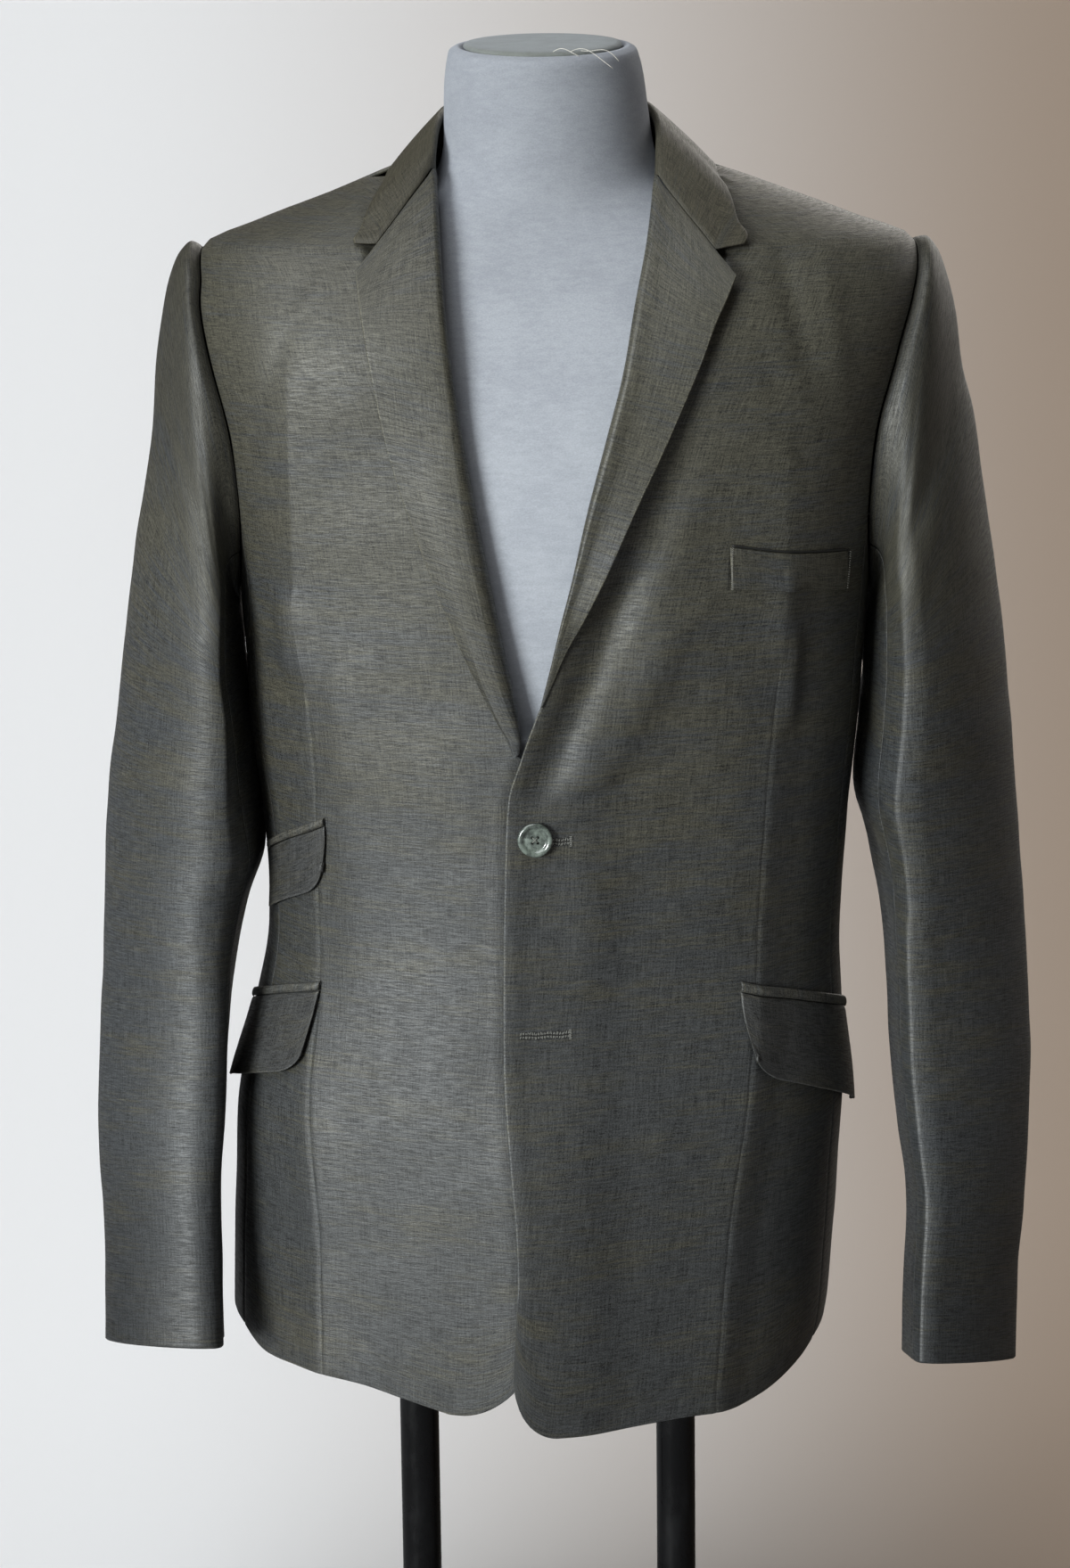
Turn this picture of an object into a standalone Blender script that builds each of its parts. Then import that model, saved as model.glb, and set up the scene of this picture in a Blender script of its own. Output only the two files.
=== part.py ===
"""Two-button suit jacket on a limbless dress form that stands on two posts.

Every piece of cloth is a thin wall. The body pieces are cut from one surface, a stack of rounded
rings whose sizes stand in BODY_ROWS, and what lies on a body piece is made from the same surface,
moved out. Units are metres, +Z is up, the front faces -Y and +X is the wearer's left side.
"""
import math

import bmesh
import bpy
import numpy as np

# ---------------------------------------------------------------- driving sizes
BODY_CLOTH = 0.0018        # fronts, sides and backs, cloth with its canvas
FOLD_CLOTH = 0.0015        # lapels and collar
SLEEVE_CLOTH = 0.0014
FLAP_CLOTH = 0.0014
SEAM_GAP = 0.0004          # between two pieces that are sewn together
LAY_GAP = 0.0008           # between a piece and the one it lies on
RING_CENTRE_Y = 0.005      # the depth at which every body ring is widest
PANEL_TOP = 0.9950         # where the fronts and backs end under the collar
TIP_Z = 0.9455             # top of the armhole, at the end of the shoulder
UNDERARM_Z = 0.7380
ARMHOLE_DEPTH = 0.0600     # half its width, front to back
SIDE_SEAM_FRONT = math.radians(72.0)
SIDE_SEAM_BACK = math.radians(112.0)
BUTTON_CENTRE = (-0.0097, 0.6116)
BUTTON_RADIUS = 0.0101
POST_RADIUS = 0.0121
POST_X = (-0.0865, 0.0738)
PLATE_SIZE = (0.300, 0.360, 0.008)
PLATE_CENTRE = (0.000, 0.000)
BODY_OFFSET_X = -0.0064    # moves the whole model so that its outline is centred on the origin

# Outer surface of the jacket's body, from hem to neck.
BODY_COLUMNS = ("z", "centre_x", "half_width", "front_y", "back_y", "roundness")
BODY_ROWS = (
    (0.240, -0.0200, 0.1760, -0.1280, 0.1190, 2.20),
    (0.300, -0.0155, 0.1845, -0.1290, 0.1230, 2.20),
    (0.360, -0.0120, 0.1855, -0.1290, 0.1250, 2.20),
    (0.420, -0.0090, 0.1860, -0.1280, 0.1240, 2.20),
    (0.480, -0.0030, 0.1800, -0.1250, 0.1170, 2.20),
    (0.540, 0.0015, 0.1740, -0.1220, 0.1060, 2.20),
    (0.600, 0.0030, 0.1765, -0.1210, 0.1020, 2.25),
    (0.660, 0.0030, 0.1830, -0.1230, 0.1040, 2.30),
    (0.720, 0.0035, 0.1865, -0.1260, 0.1100, 2.35),
    (0.780, 0.0040, 0.1910, -0.1270, 0.1160, 2.45),
    (0.840, 0.0040, 0.2000, -0.1240, 0.1190, 2.55),
    (0.885, 0.0045, 0.2105, -0.1160, 0.1180, 2.60),
    (0.915, 0.0065, 0.2150, -0.1040, 0.1130, 2.55),
    (0.930, 0.0083, 0.2138, -0.0950, 0.1078, 2.50),
    (0.940, 0.0082, 0.2115, -0.0885, 0.1040, 2.45),
    (0.9455, 0.0078, 0.2088, -0.0847, 0.1018, 2.40),
    (0.950, 0.0075, 0.2022, -0.0812, 0.0997, 2.38),
    (0.956, 0.0070, 0.1845, -0.0763, 0.0965, 2.35),
    (0.965, 0.0068, 0.1605, -0.0690, 0.0910, 2.30),
    (0.974, 0.0066, 0.1355, -0.0609, 0.0856, 2.20),
    (0.983, 0.0055, 0.1120, -0.0515, 0.0775, 2.15),
    (0.990, 0.0040, 0.0930, -0.0425, 0.0710, 2.10),
    (0.997, 0.0030, 0.0740, -0.0340, 0.0650, 2.10),
)

# Outer surface of the dress form, from its flat bottom to the neck.
FORM_COLUMNS = BODY_COLUMNS
FORM_ROWS = (
    (0.318, -0.0060, 0.1480, -0.0980, 0.0900, 2.2),
    (0.326, -0.0060, 0.1560, -0.1060, 0.0980, 2.2),
    (0.360, -0.0060, 0.1610, -0.1100, 0.1040, 2.2),
    (0.420, -0.0050, 0.1630, -0.1110, 0.1050, 2.2),
    (0.480, -0.0020, 0.1590, -0.1090, 0.0990, 2.2),
    (0.560, 0.0020, 0.1520, -0.1060, 0.0880, 2.2),
    (0.640, 0.0025, 0.1590, -0.1090, 0.0880, 2.3),
    (0.720, 0.0030, 0.1680, -0.1130, 0.0950, 2.3),
    (0.780, 0.0030, 0.1740, -0.1140, 0.1010, 2.4),
    (0.840, 0.0030, 0.1800, -0.1110, 0.1040, 2.5),
    (0.885, 0.0035, 0.1810, -0.1020, 0.1030, 2.5),
    (0.915, 0.0040, 0.1760, -0.0905, 0.0970, 2.4),
    (0.935, 0.0040, 0.1660, -0.0790, 0.0890, 2.3),
    (0.955, 0.0035, 0.1250, -0.0665, 0.0760, 2.2),
    (0.970, 0.0030, 0.0900, -0.0605, 0.0680, 2.1),
    (0.982, 0.0030, 0.0700, -0.0590, 0.0640, 2.0),
    (0.992, 0.0030, 0.0640, -0.0580, 0.0615, 2.0),
    (1.004, 0.0026, 0.0613, -0.0570, 0.0600, 2.0),
    (1.022, 0.0018, 0.0598, -0.0560, 0.0575, 2.0),
    (1.038, 0.0012, 0.0585, -0.0550, 0.0560, 2.0),
    (1.052, 0.0005, 0.0560, -0.0545, 0.0550, 2.0),
    (1.056, 0.0003, 0.0546, -0.0532, 0.0537, 2.0),
    (1.058, 0.0003, 0.0515, -0.0502, 0.0507, 2.0),
)
NECK_TILT = 0.10           # rise of the neck's flat top for each metre towards the back

# Soft folds of the body cloth, each a ridge (or a trough, where height is below zero) on a
# slanted line seen from the front or the back.
FOLD_COLUMNS = ("side", "x_low", "z_low", "x_high", "z_high", "half_width", "height")
FOLD_ROWS = (
    ("front", 0.0100, 0.665, 0.0800, 0.840, 0.0130, -0.0030),   # beside the left lapel
    ("front", 0.0550, 0.700, 0.0820, 0.800, 0.0120, 0.0012),    # ridge outside that trough
    ("front", -0.1400, 0.520, -0.1420, 0.690, 0.0160, -0.0022),  # right waist dart
    ("front", 0.1220, 0.520, 0.1330, 0.700, 0.0160, -0.0022),   # left waist dart
    ("front", -0.1440, 0.700, -0.1500, 0.745, 0.0090, 0.0016),  # fullness over the right dart
    ("front", 0.1350, 0.715, 0.1360, 0.760, 0.0090, 0.0016),    # fullness over the left dart
    ("front", -0.1220, 0.600, -0.1180, 0.820, 0.0170, 0.0016),  # long ridge, right front
    ("front", 0.1480, 0.880, 0.1350, 0.945, 0.0080, -0.0018),   # hollow under the left shoulder
    ("front", 0.1680, 0.870, 0.1600, 0.940, 0.0070, 0.0014),
    ("front", 0.0100, 0.630, 0.0700, 0.655, 0.0080, -0.0012),   # pull from the button
    ("back", 0.0000, 0.480, 0.0020, 0.700, 0.0300, -0.0030),    # hollow of the back
    ("back", 0.1150, 0.660, 0.1500, 0.860, 0.0150, -0.0022),    # blade drape, left
    ("back", -0.1150, 0.660, -0.1500, 0.860, 0.0150, -0.0022),  # blade drape, right
)

# Front edge of each front, under the lapels and down to its rounded corner.
EDGE_COLUMNS = ("z", "x")
LEFT_EDGE_ROWS = (
    (0.289, -0.0225), (0.368, -0.0232), (0.423, -0.0267), (0.476, -0.0296), (0.529, -0.0290),
    (0.581, -0.0277), (0.634, -0.0250), (0.657, -0.0180), (0.684, -0.0082), (0.693, -0.0042),
    (0.702, 0.0030), (0.720, 0.0100), (0.762, 0.0220), (0.800, 0.0330), (0.840, 0.0440),
    (0.880, 0.0545),
    (0.915, 0.0620), (0.952, 0.0700), (0.985, 0.0730), (0.995, 0.0740),
)
RIGHT_EDGE_ROWS = (
    (0.330, -0.0060), (0.400, 0.0060), (0.625, 0.0060), (0.640, -0.0030), (0.652, -0.0120),
    (0.660, -0.0180), (0.668, -0.0235), (0.684, -0.0270), (0.719, -0.0340), (0.759, -0.0420),
    (0.800, -0.0490), (0.840, -0.0555), (0.880, -0.0610), (0.935, -0.0665), (0.975, -0.0690),
    (0.995, -0.0700),
)
LEFT_CORNER = (0.030, 0.041)     # width and height of the rounded corner at the hem
RIGHT_CORNER = (0.052, 0.078)

# Levels at which the body pieces are cut, so that two pieces share those of their seam.
HEM_TOP = 0.345
HEM_SHARES = (0.0, 0.12, 0.30, 0.55, 0.80)
SIDE_HEIGHTS = (0.360, 0.420, 0.470, 0.510, 0.550, 0.590, 0.625, 0.645, 0.657, 0.675, 0.700, 0.735)
ARMHOLE_SHARES = (0.62, 0.53, 0.44, 0.36, 0.28, 0.20, 0.12, 0.05, 0.0)
TOP_HEIGHTS = (0.950, 0.956, 0.965, 0.974, 0.983, 0.990, PANEL_TOP)

# Height of the hem round the body, by angle from the front centre (left positive).
HEM_COLUMNS = ("angle", "z")
HEM_ROWS = (
    (-180, 0.2900), (-120, 0.2910), (-90, 0.2930), (-75, 0.2915), (-59, 0.2810), (-42, 0.2790),
    (-32, 0.2760), (-22, 0.2690), (-13, 0.2618), (0, 0.2500), (8, 0.2495), (31, 0.2530),
    (42, 0.2525), (50, 0.2560), (65, 0.2690), (75, 0.2790), (90, 0.2830), (120, 0.2880),
    (180, 0.2900),
)
WRAP_LIFT = 0.0023         # the left front stands this far out where it laps the right front
WRAP_INNER, WRAP_OUTER = 0.012, 0.045

# Lapels: the rolled inner line and the outer edge, from the break up, both seen from the front.
LAPEL_COLUMNS = ("roll_x", "roll_z", "edge_x", "edge_z", "roll_radius")
LEFT_LAPEL_ROWS = (
    (-0.0058, 0.6900, -0.0030, 0.6925, 0.0016),
    (0.0013, 0.7178, 0.0076, 0.7200, 0.0020),
    (0.0060, 0.7370, 0.0160, 0.7370, 0.0026),
    (0.0126, 0.7615, 0.0293, 0.7620, 0.0034),
    (0.0216, 0.8000, 0.0475, 0.8000, 0.0042),
    (0.0325, 0.8400, 0.0660, 0.8380, 0.0045),
    (0.0430, 0.8790, 0.0850, 0.8800, 0.0045),
    (0.0500, 0.9150, 0.0950, 0.9035, 0.0045),
    (0.0582, 0.9524, 0.1030, 0.9190, 0.0042),
    (0.0630, 0.9835, 0.1072, 0.9275, 0.0036),
)
RIGHT_LAPEL_ROWS = (
    (-0.0178, 0.6620, -0.0218, 0.6605, 0.0016),
    (-0.0168, 0.6700, -0.0250, 0.6690, 0.0018),
    (-0.0187, 0.6840, -0.0320, 0.6825, 0.0032),
    (-0.0254, 0.7190, -0.0495, 0.7190, 0.0042),
    (-0.0330, 0.7590, -0.0655, 0.7610, 0.0045),
    (-0.0404, 0.8000, -0.0790, 0.7990, 0.0045),
    (-0.0472, 0.8400, -0.0907, 0.8380, 0.0045),
    (-0.0532, 0.8800, -0.0990, 0.8800, 0.0045),
    (-0.0572, 0.9180, -0.1040, 0.9080, 0.0045),
    (-0.0597, 0.9560, -0.1062, 0.9230, 0.0042),
    (-0.0617, 0.9880, -0.1075, 0.9345, 0.0036),
)
LAPEL_LIFT = 0.0026        # the lapel's outer face above the front, away from its roll
ROLL_TURNS = (155.0, 118.0, 80.0, 45.0, 12.0)    # points round a rolled edge, in degrees

# Collar: its top fold, the turn of the outer edge round the body and its height above the
# body's cloth, and how far the stand drops and spreads inside the neck. Right end to left end.
COLLAR_COLUMNS = ("crest_x", "crest_y", "crest_z", "edge_angle", "edge_z", "lift", "drop", "spread")
COLLAR_ROWS = (
    (-0.0617, -0.0360, 0.9880, -30.9, 0.9493, 0.0030, 0.007, -0.0010),
    (-0.0620, -0.0270, 0.9990, -37.2, 0.9615, 0.0030, 0.012, 0.0000),
    (-0.0614, -0.0130, 1.0080, -47.5, 0.9735, 0.0028, 0.017, 0.0020),
    (-0.0598, 0.0040, 1.0160, -60.0, 0.9837, 0.0024, 0.022, 0.0045),
    (-0.0560, 0.0260, 1.0222, -92.0, 0.9928, 0.0022, 0.027, 0.0060),
    (-0.0445, 0.0460, 1.0275, -121.0, 0.9915, 0.0022, 0.031, 0.0070),
    (-0.0240, 0.0610, 1.0325, -150.0, 0.9900, 0.0022, 0.034, 0.0050),
    (0.0020, 0.0662, 1.0345, -180.0, 0.9890, 0.0022, 0.035, 0.0020),
    (0.0275, 0.0610, 1.0330, -210.0, 0.9900, 0.0022, 0.034, 0.0050),
    (0.0485, 0.0460, 1.0280, -239.0, 0.9910, 0.0022, 0.031, 0.0070),
    (0.0606, 0.0260, 1.0225, -268.0, 0.9908, 0.0022, 0.027, 0.0060),
    (0.0645, 0.0040, 1.0165, -301.0, 0.9842, 0.0024, 0.022, 0.0035),
    (0.0655, -0.0145, 1.0085, -315.4, 0.9735, 0.0028, 0.017, 0.0010),
    (0.0645, -0.0300, 0.9975, -326.3, 0.9606, 0.0030, 0.012, 0.0000),
    (0.0630, -0.0450, 0.9835, -333.2, 0.9460, 0.0030, 0.007, -0.0010),
)
COLLAR_ROLL = 0.0029
GORGE_SHARE = 0.71         # the collar is sewn to this share of the lapel's top edge

# Sleeves: a row for each section, from the armhole down. Outer and inner ends of the section
# seen from the front, then its middle and half its depth, and the rise of its front.
SLEEVE_COLUMNS = ("outer_x", "outer_z", "inner_x", "inner_z", "middle_y", "half_depth", "rise")
RIGHT_SLEEVE_ROWS = (
    (-0.2005, 0.9445, -0.1845, 0.7390, 0.0050, 0.0590, 0.00),
    (-0.2075, 0.9475, -0.1850, 0.7368, 0.0050, 0.0628, 0.00),
    (-0.2145, 0.9420, -0.1853, 0.7340, 0.0050, 0.0652, 0.00),
    (-0.2215, 0.9265, -0.1852, 0.7310, 0.0050, 0.0675, 0.00),
    (-0.2270, 0.9030, -0.1850, 0.7280, 0.0050, 0.0705, 0.00),
    (-0.2315, 0.8740, -0.1847, 0.7245, 0.0050, 0.0732, 0.00),
    (-0.2345, 0.8400, -0.1842, 0.7200, 0.0050, 0.0755, 0.00),
    (-0.2405, 0.8030, -0.1838, 0.7140, 0.0050, 0.0768, 0.00),
    (-0.2480, 0.7640, -0.1832, 0.7060, 0.0050, 0.0770, 0.00),
    (-0.2545, 0.7200, -0.1823, 0.6930, 0.0050, 0.0765, 0.00),
    (-0.2605, 0.6730, -0.1809, 0.6640, 0.0045, 0.0750, 0.00),
    (-0.2670, 0.6300, -0.1774, 0.6280, 0.0040, 0.0730, 0.01),
    (-0.2708, 0.5890, -0.1748, 0.5880, 0.0030, 0.0705, 0.03),
    (-0.2727, 0.5500, -0.1852, 0.5490, 0.0005, 0.0675, 0.06),
    (-0.2746, 0.5100, -0.1935, 0.5090, -0.0045, 0.0645, 0.10),
    (-0.2772, 0.4650, -0.1992, 0.4640, -0.0110, 0.0615, 0.15),
    (-0.2792, 0.4150, -0.2014, 0.4140, -0.0205, 0.0585, 0.19),
    (-0.2770, 0.3700, -0.2046, 0.3690, -0.0310, 0.0555, 0.21),
    (-0.2752, 0.3300, -0.2040, 0.3290, -0.0420, 0.0530, 0.22),
    (-0.2755, 0.2875, -0.2027, 0.2870, -0.0545, 0.0510, 0.23),
)
LEFT_SLEEVE_ROWS = (
    (0.2160, 0.9445, 0.1919, 0.7390, 0.0050, 0.0590, 0.00),
    (0.2235, 0.9455, 0.1924, 0.7368, 0.0050, 0.0628, 0.00),
    (0.2310, 0.9385, 0.1926, 0.7340, 0.0050, 0.0652, 0.00),
    (0.2375, 0.9230, 0.1924, 0.7310, 0.0050, 0.0675, 0.00),
    (0.2430, 0.9020, 0.1920, 0.7280, 0.0050, 0.0705, 0.00),
    (0.2475, 0.8690, 0.1916, 0.7245, 0.0050, 0.0732, 0.00),
    (0.2550, 0.8400, 0.1911, 0.7200, 0.0050, 0.0755, 0.00),
    (0.2607, 0.8010, 0.1905, 0.7140, 0.0050, 0.0768, 0.00),
    (0.2667, 0.7610, 0.1899, 0.7060, 0.0050, 0.0770, 0.00),
    (0.2735, 0.7160, 0.1891, 0.6930, 0.0050, 0.0765, 0.00),
    (0.2780, 0.6680, 0.1868, 0.6600, 0.0045, 0.0750, 0.00),
    (0.2820, 0.6220, 0.1838, 0.6210, 0.0040, 0.0730, 0.01),
    (0.2850, 0.5800, 0.1932, 0.5790, 0.0030, 0.0705, 0.03),
    (0.2880, 0.5400, 0.2002, 0.5390, 0.0005, 0.0675, 0.06),
    (0.2905, 0.5000, 0.2038, 0.5000, -0.0045, 0.0645, 0.10),
    (0.2916, 0.4550, 0.2055, 0.4560, -0.0110, 0.0615, 0.15),
    (0.2904, 0.4070, 0.2100, 0.4080, -0.0205, 0.0585, 0.19),
    (0.2868, 0.3620, 0.2146, 0.3640, -0.0310, 0.0555, 0.21),
    (0.2820, 0.3200, 0.2124, 0.3230, -0.0420, 0.0530, 0.22),
    (0.2802, 0.2680, 0.2103, 0.2730, -0.0545, 0.0510, 0.23),
)
FRONT_SLEEVE_SEAM = math.radians(136.0)     # angles round a sleeve, from its outer line
BACK_SLEEVE_SEAM = math.radians(232.0)

# Each sleeve's pressed front: how far its front leans to the inner side, the angle of the
# pressed line, its height and half its width round the sleeve.
PRESS_COLUMNS = ("name", "lean", "angle", "height", "half_angle")
PRESS_ROWS = (
    ("right", 0.45, 112.0, 0.0030, 20.0),
    ("left", 0.30, 95.0, 0.0034, 20.0),
)

# Pocket pieces on the fronts: the corners of the strip and of the flap under it, by angle round
# the body and height, front corner first.
POCKET_COLUMNS = ("name", "top_front", "top_front_z", "top_back", "top_back_z", "strip", "depth",
                  "back_depth", "cut_back", "corner", "corner_share", "stand_off")
POCKET_ROWS = (
    ("left", 36.5, 0.5130, 94.0, 0.4730, 0.0062, 0.0505, 0.0590, 0.0080, 0.0120, 0.12, 0.0062),
    ("right", -50.0, 0.5125, -100.0, 0.4800, 0.0055, 0.0490, 0.0500, 0.0020, 0.0120, 0.12, 0.0060),
    ("ticket", -47.5, 0.6125, -76.0, 0.5870, 0.0050, 0.0400, 0.0400, 0.0020, 0.0110, 0.18, 0.0010),
)

# Breast welt: corners seen from the front.
WELT_COLUMNS = ("x", "top_z", "bottom_z")
WELT_ROWS = ((0.1040, 0.7790, 0.7540), (0.1340, 0.7740, 0.7515), (0.1730, 0.7700, 0.7465))

CLOTH_COLOUR = (0.060, 0.055, 0.042)
FORM_COLOUR = (0.36, 0.39, 0.44)
CAP_COLOUR = (0.33, 0.36, 0.35)
BUTTON_COLOUR = (0.22, 0.26, 0.24)
STEEL_COLOUR = (0.010, 0.010, 0.012)


# ---------------------------------------------------------------- tables and curves
def table(columns, rows):
    """Turn rows into a dictionary of columns."""
    return {name: np.array([row[k] for row in rows]) for k, name in enumerate(columns)}


def smooth(where, known, values):
    """Cubic curve through the known values, which never swings past them."""
    known = np.asarray(known, float)
    values = np.asarray(values, float)
    step = np.diff(known)
    slope = np.diff(values) / step
    tangent = np.zeros(len(known))
    first = 2 * step[1:] + step[:-1]
    second = step[1:] + 2 * step[:-1]
    same_way = slope[:-1] * slope[1:] > 0
    safe = np.where(same_way, slope[:-1] * slope[1:], 1.0)
    blended = (first + second) * safe / (first * slope[1:] + second * slope[:-1] + (~same_way))
    tangent[1:-1] = np.where(same_way, blended, 0.0)
    tangent[0] = slope[0]
    tangent[-1] = slope[-1]
    where = np.clip(np.asarray(where, float), known[0], known[-1])
    cell = np.clip(np.searchsorted(known, where, side="right") - 1, 0, len(known) - 2)
    width = step[cell]
    t = (where - known[cell]) / width
    return ((2 * t**3 - 3 * t**2 + 1) * values[cell] + (t**3 - 2 * t**2 + t) * width * tangent[cell]
            + (3 * t**2 - 2 * t**3) * values[cell + 1] + (t**3 - t**2) * width * tangent[cell + 1])


def ease(value, low, high):
    """Run smoothly from 0 at low to 1 at high."""
    t = np.clip((np.asarray(value, float) - low) / (high - low), 0.0, 1.0)
    return t * t * (3 - 2 * t)


BODY = table(BODY_COLUMNS, BODY_ROWS)
FORM = table(FORM_COLUMNS, FORM_ROWS)
HEM = table(HEM_COLUMNS, HEM_ROWS)


def section(rings, z):
    """Centre, half width, front depth, back depth and roundness of the ring at height z."""
    values = {name: smooth(z, rings["z"], rings[name]) for name in rings if name != "z"}
    values["front_y"] = RING_CENTRE_Y - values["front_y"]
    values["back_y"] = values["back_y"] - RING_CENTRE_Y
    return values


def ring_point(rings, angle, z):
    """Point of a rounded ring: angle 0 is the front centre, 90 degrees the wearer's left."""
    at = section(rings, z)
    sine, cosine = np.sin(angle), np.cos(angle)
    power = 2.0 / at["roundness"]
    depth = np.where(cosine > 0, -at["front_y"], at["back_y"])
    x = at["centre_x"] + at["half_width"] * np.sign(sine) * np.abs(sine) ** power
    y = RING_CENTRE_Y + depth * np.abs(cosine) ** power
    return np.stack([x, y, np.broadcast_to(z, x.shape)], axis=-1)


def ring_level(rings, point):
    """How far outside its ring a point lies: 1 on the ring itself."""
    x, y, z = point[..., 0], point[..., 1], point[..., 2]
    at = section(rings, z)
    depth = np.where(y < RING_CENTRE_Y, at["front_y"], at["back_y"])
    across = np.abs(x - at["centre_x"]) / at["half_width"]
    along = np.abs(y - RING_CENTRE_Y) / depth
    return across ** at["roundness"] + along ** at["roundness"]


def outward(rings, point):
    """Unit normal of the ring surface at a point, from differences of its level."""
    step = 0.0004
    parts = []
    for axis in range(3):
        shift = np.zeros(3)
        shift[axis] = step
        parts.append(ring_level(rings, point + shift) - ring_level(rings, point - shift))
    normal = np.stack(parts, axis=-1)
    return normal / np.linalg.norm(normal, axis=-1, keepdims=True)


def fold_height(point):
    """Sum of the soft folds at a point of the body."""
    total = np.zeros(point.shape[:-1])
    for side, x_low, z_low, x_high, z_high, half_width, height in FOLD_ROWS:
        along = (point[..., 2] - z_low) / (z_high - z_low)
        line = x_low + (x_high - x_low) * along
        across = np.exp(-((point[..., 0] - line) / half_width) ** 2)
        ends = ease(along, -0.25, 0.20) * ease(-along, -1.25, -0.80)
        faces = point[..., 1] < RING_CENTRE_Y if side == "front" else point[..., 1] > RING_CENTRE_Y
        total += height * across * ends * faces
    return total


def body_point(angle, z, lift=0.0):
    """Point of the jacket's body with its folds, moved out by lift."""
    angle, z = np.broadcast_arrays(np.asarray(angle, float), np.asarray(z, float))
    point = ring_point(BODY, angle, z)
    return point + outward(BODY, point) * (fold_height(point) + lift)[..., None]


def angle_of(x, z):
    """Angle at which the front of the body ring at height z has this x."""
    at = section(BODY, z)
    share = np.clip((x - at["centre_x"]) / at["half_width"], -1.0, 1.0)
    return np.arcsin(np.sign(share) * np.abs(share) ** (at["roundness"] / 2))


def front_point(x, z, lift=0.0):
    """Point of the jacket's front that is seen at x and z, moved out by lift."""
    return body_point(angle_of(x, z), z, lift)


def hem_z(angle):
    """Height of the hem at an angle round the body."""
    return smooth(np.degrees(angle), HEM["angle"], HEM["z"])


def armhole_z(fraction):
    """Heights spread down the armhole, close together at its top and bottom."""
    middle, half = (TIP_Z + UNDERARM_Z) / 2, (TIP_Z - UNDERARM_Z) / 2
    return middle + half * np.cos(np.pi * fraction)


def armhole_angle(z, back):
    """Angle of the armhole's edge at height z, an ellipse seen from the side."""
    middle, half = (TIP_Z + UNDERARM_Z) / 2, (TIP_Z - UNDERARM_Z) / 2
    offset = ARMHOLE_DEPTH * np.sqrt(np.clip(1 - ((z - middle) / half) ** 2, 0.0, 1.0))
    at = section(BODY, z)
    depth = at["back_y"] if back else at["front_y"]
    angle = np.arccos(np.clip(offset / depth, 0.0, 1.0) ** (at["roundness"] / 2))
    return np.pi - angle if back else angle


# ---------------------------------------------------------------- meshes
def new_object(name, mesh, material):
    """Put a mesh in the jacket's collection with its material."""
    piece = bpy.data.objects.new(name, mesh)
    piece.data.materials.append(material)
    bpy.data.collections["suit_jacket"].objects.link(piece)
    return piece


def grid_mesh(name, points, facing, closed_columns=False):
    """Mesh through a grid of points whose faces look the way that facing says."""
    rows, columns = points.shape[:2]
    index = np.arange(rows * columns).reshape(rows, columns)
    if closed_columns:
        index = np.concatenate([index, index[:, :1]], axis=1)
    quads = np.stack([index[:-1, :-1], index[:-1, 1:], index[1:, 1:], index[1:, :-1]], axis=-1)
    quads = quads.reshape(-1, 4)
    flat = points.reshape(-1, 3)
    corner = flat[quads]
    normal = np.cross(corner[:, 2] - corner[:, 0], corner[:, 3] - corner[:, 1])
    if np.sum(normal * facing(corner.mean(axis=1))) < 0:
        quads = quads[:, ::-1]
    mesh = bpy.data.meshes.new(name)
    mesh.from_pydata(flat.tolist(), [], quads.tolist())
    mesh.update()
    return mesh


def away_from_axis(centres):
    """Facing for a wall that looks away from the upright line through the origin."""
    return centres * np.array([1.0, 1.0, 0.0])


def cloth_wall(name, points, thickness, material, facing):
    """Wall of cloth whose outer face runs through the grid of points."""
    piece = new_object(name, grid_mesh(name, points, facing), material)
    solid = piece.modifiers.new("cloth", "SOLIDIFY")
    solid.thickness = thickness
    solid.offset = -1.0
    solid.use_rim = True
    piece.data.shade_smooth()
    return piece


def make_material(name, colour, roughness, metallic=0.0):
    """Principled material of one plain finish."""
    material = bpy.data.materials.new(name)
    material.use_nodes = True
    shader = material.node_tree.nodes["Principled BSDF"]
    shader.inputs["Base Color"].default_value = (*colour, 1.0)
    shader.inputs["Roughness"].default_value = roughness
    shader.inputs["Metallic"].default_value = metallic
    return material


# ---------------------------------------------------------------- body pieces
def body_levels(join_z):
    """Levels of the body pieces: shares of the way up from the hem, then heights.

    Pieces that meet at a seam use the same heights, so that their edges run side by side.
    """
    low = [("hem", share) for share in HEM_SHARES]
    arm = [float(armhole_z(share)) for share in ARMHOLE_SHARES]
    heights = SIDE_HEIGHTS + (join_z,) + tuple(z for z in arm if z > join_z + 0.008) + TOP_HEIGHTS
    return low + [("height", z) for z in heights]


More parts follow.
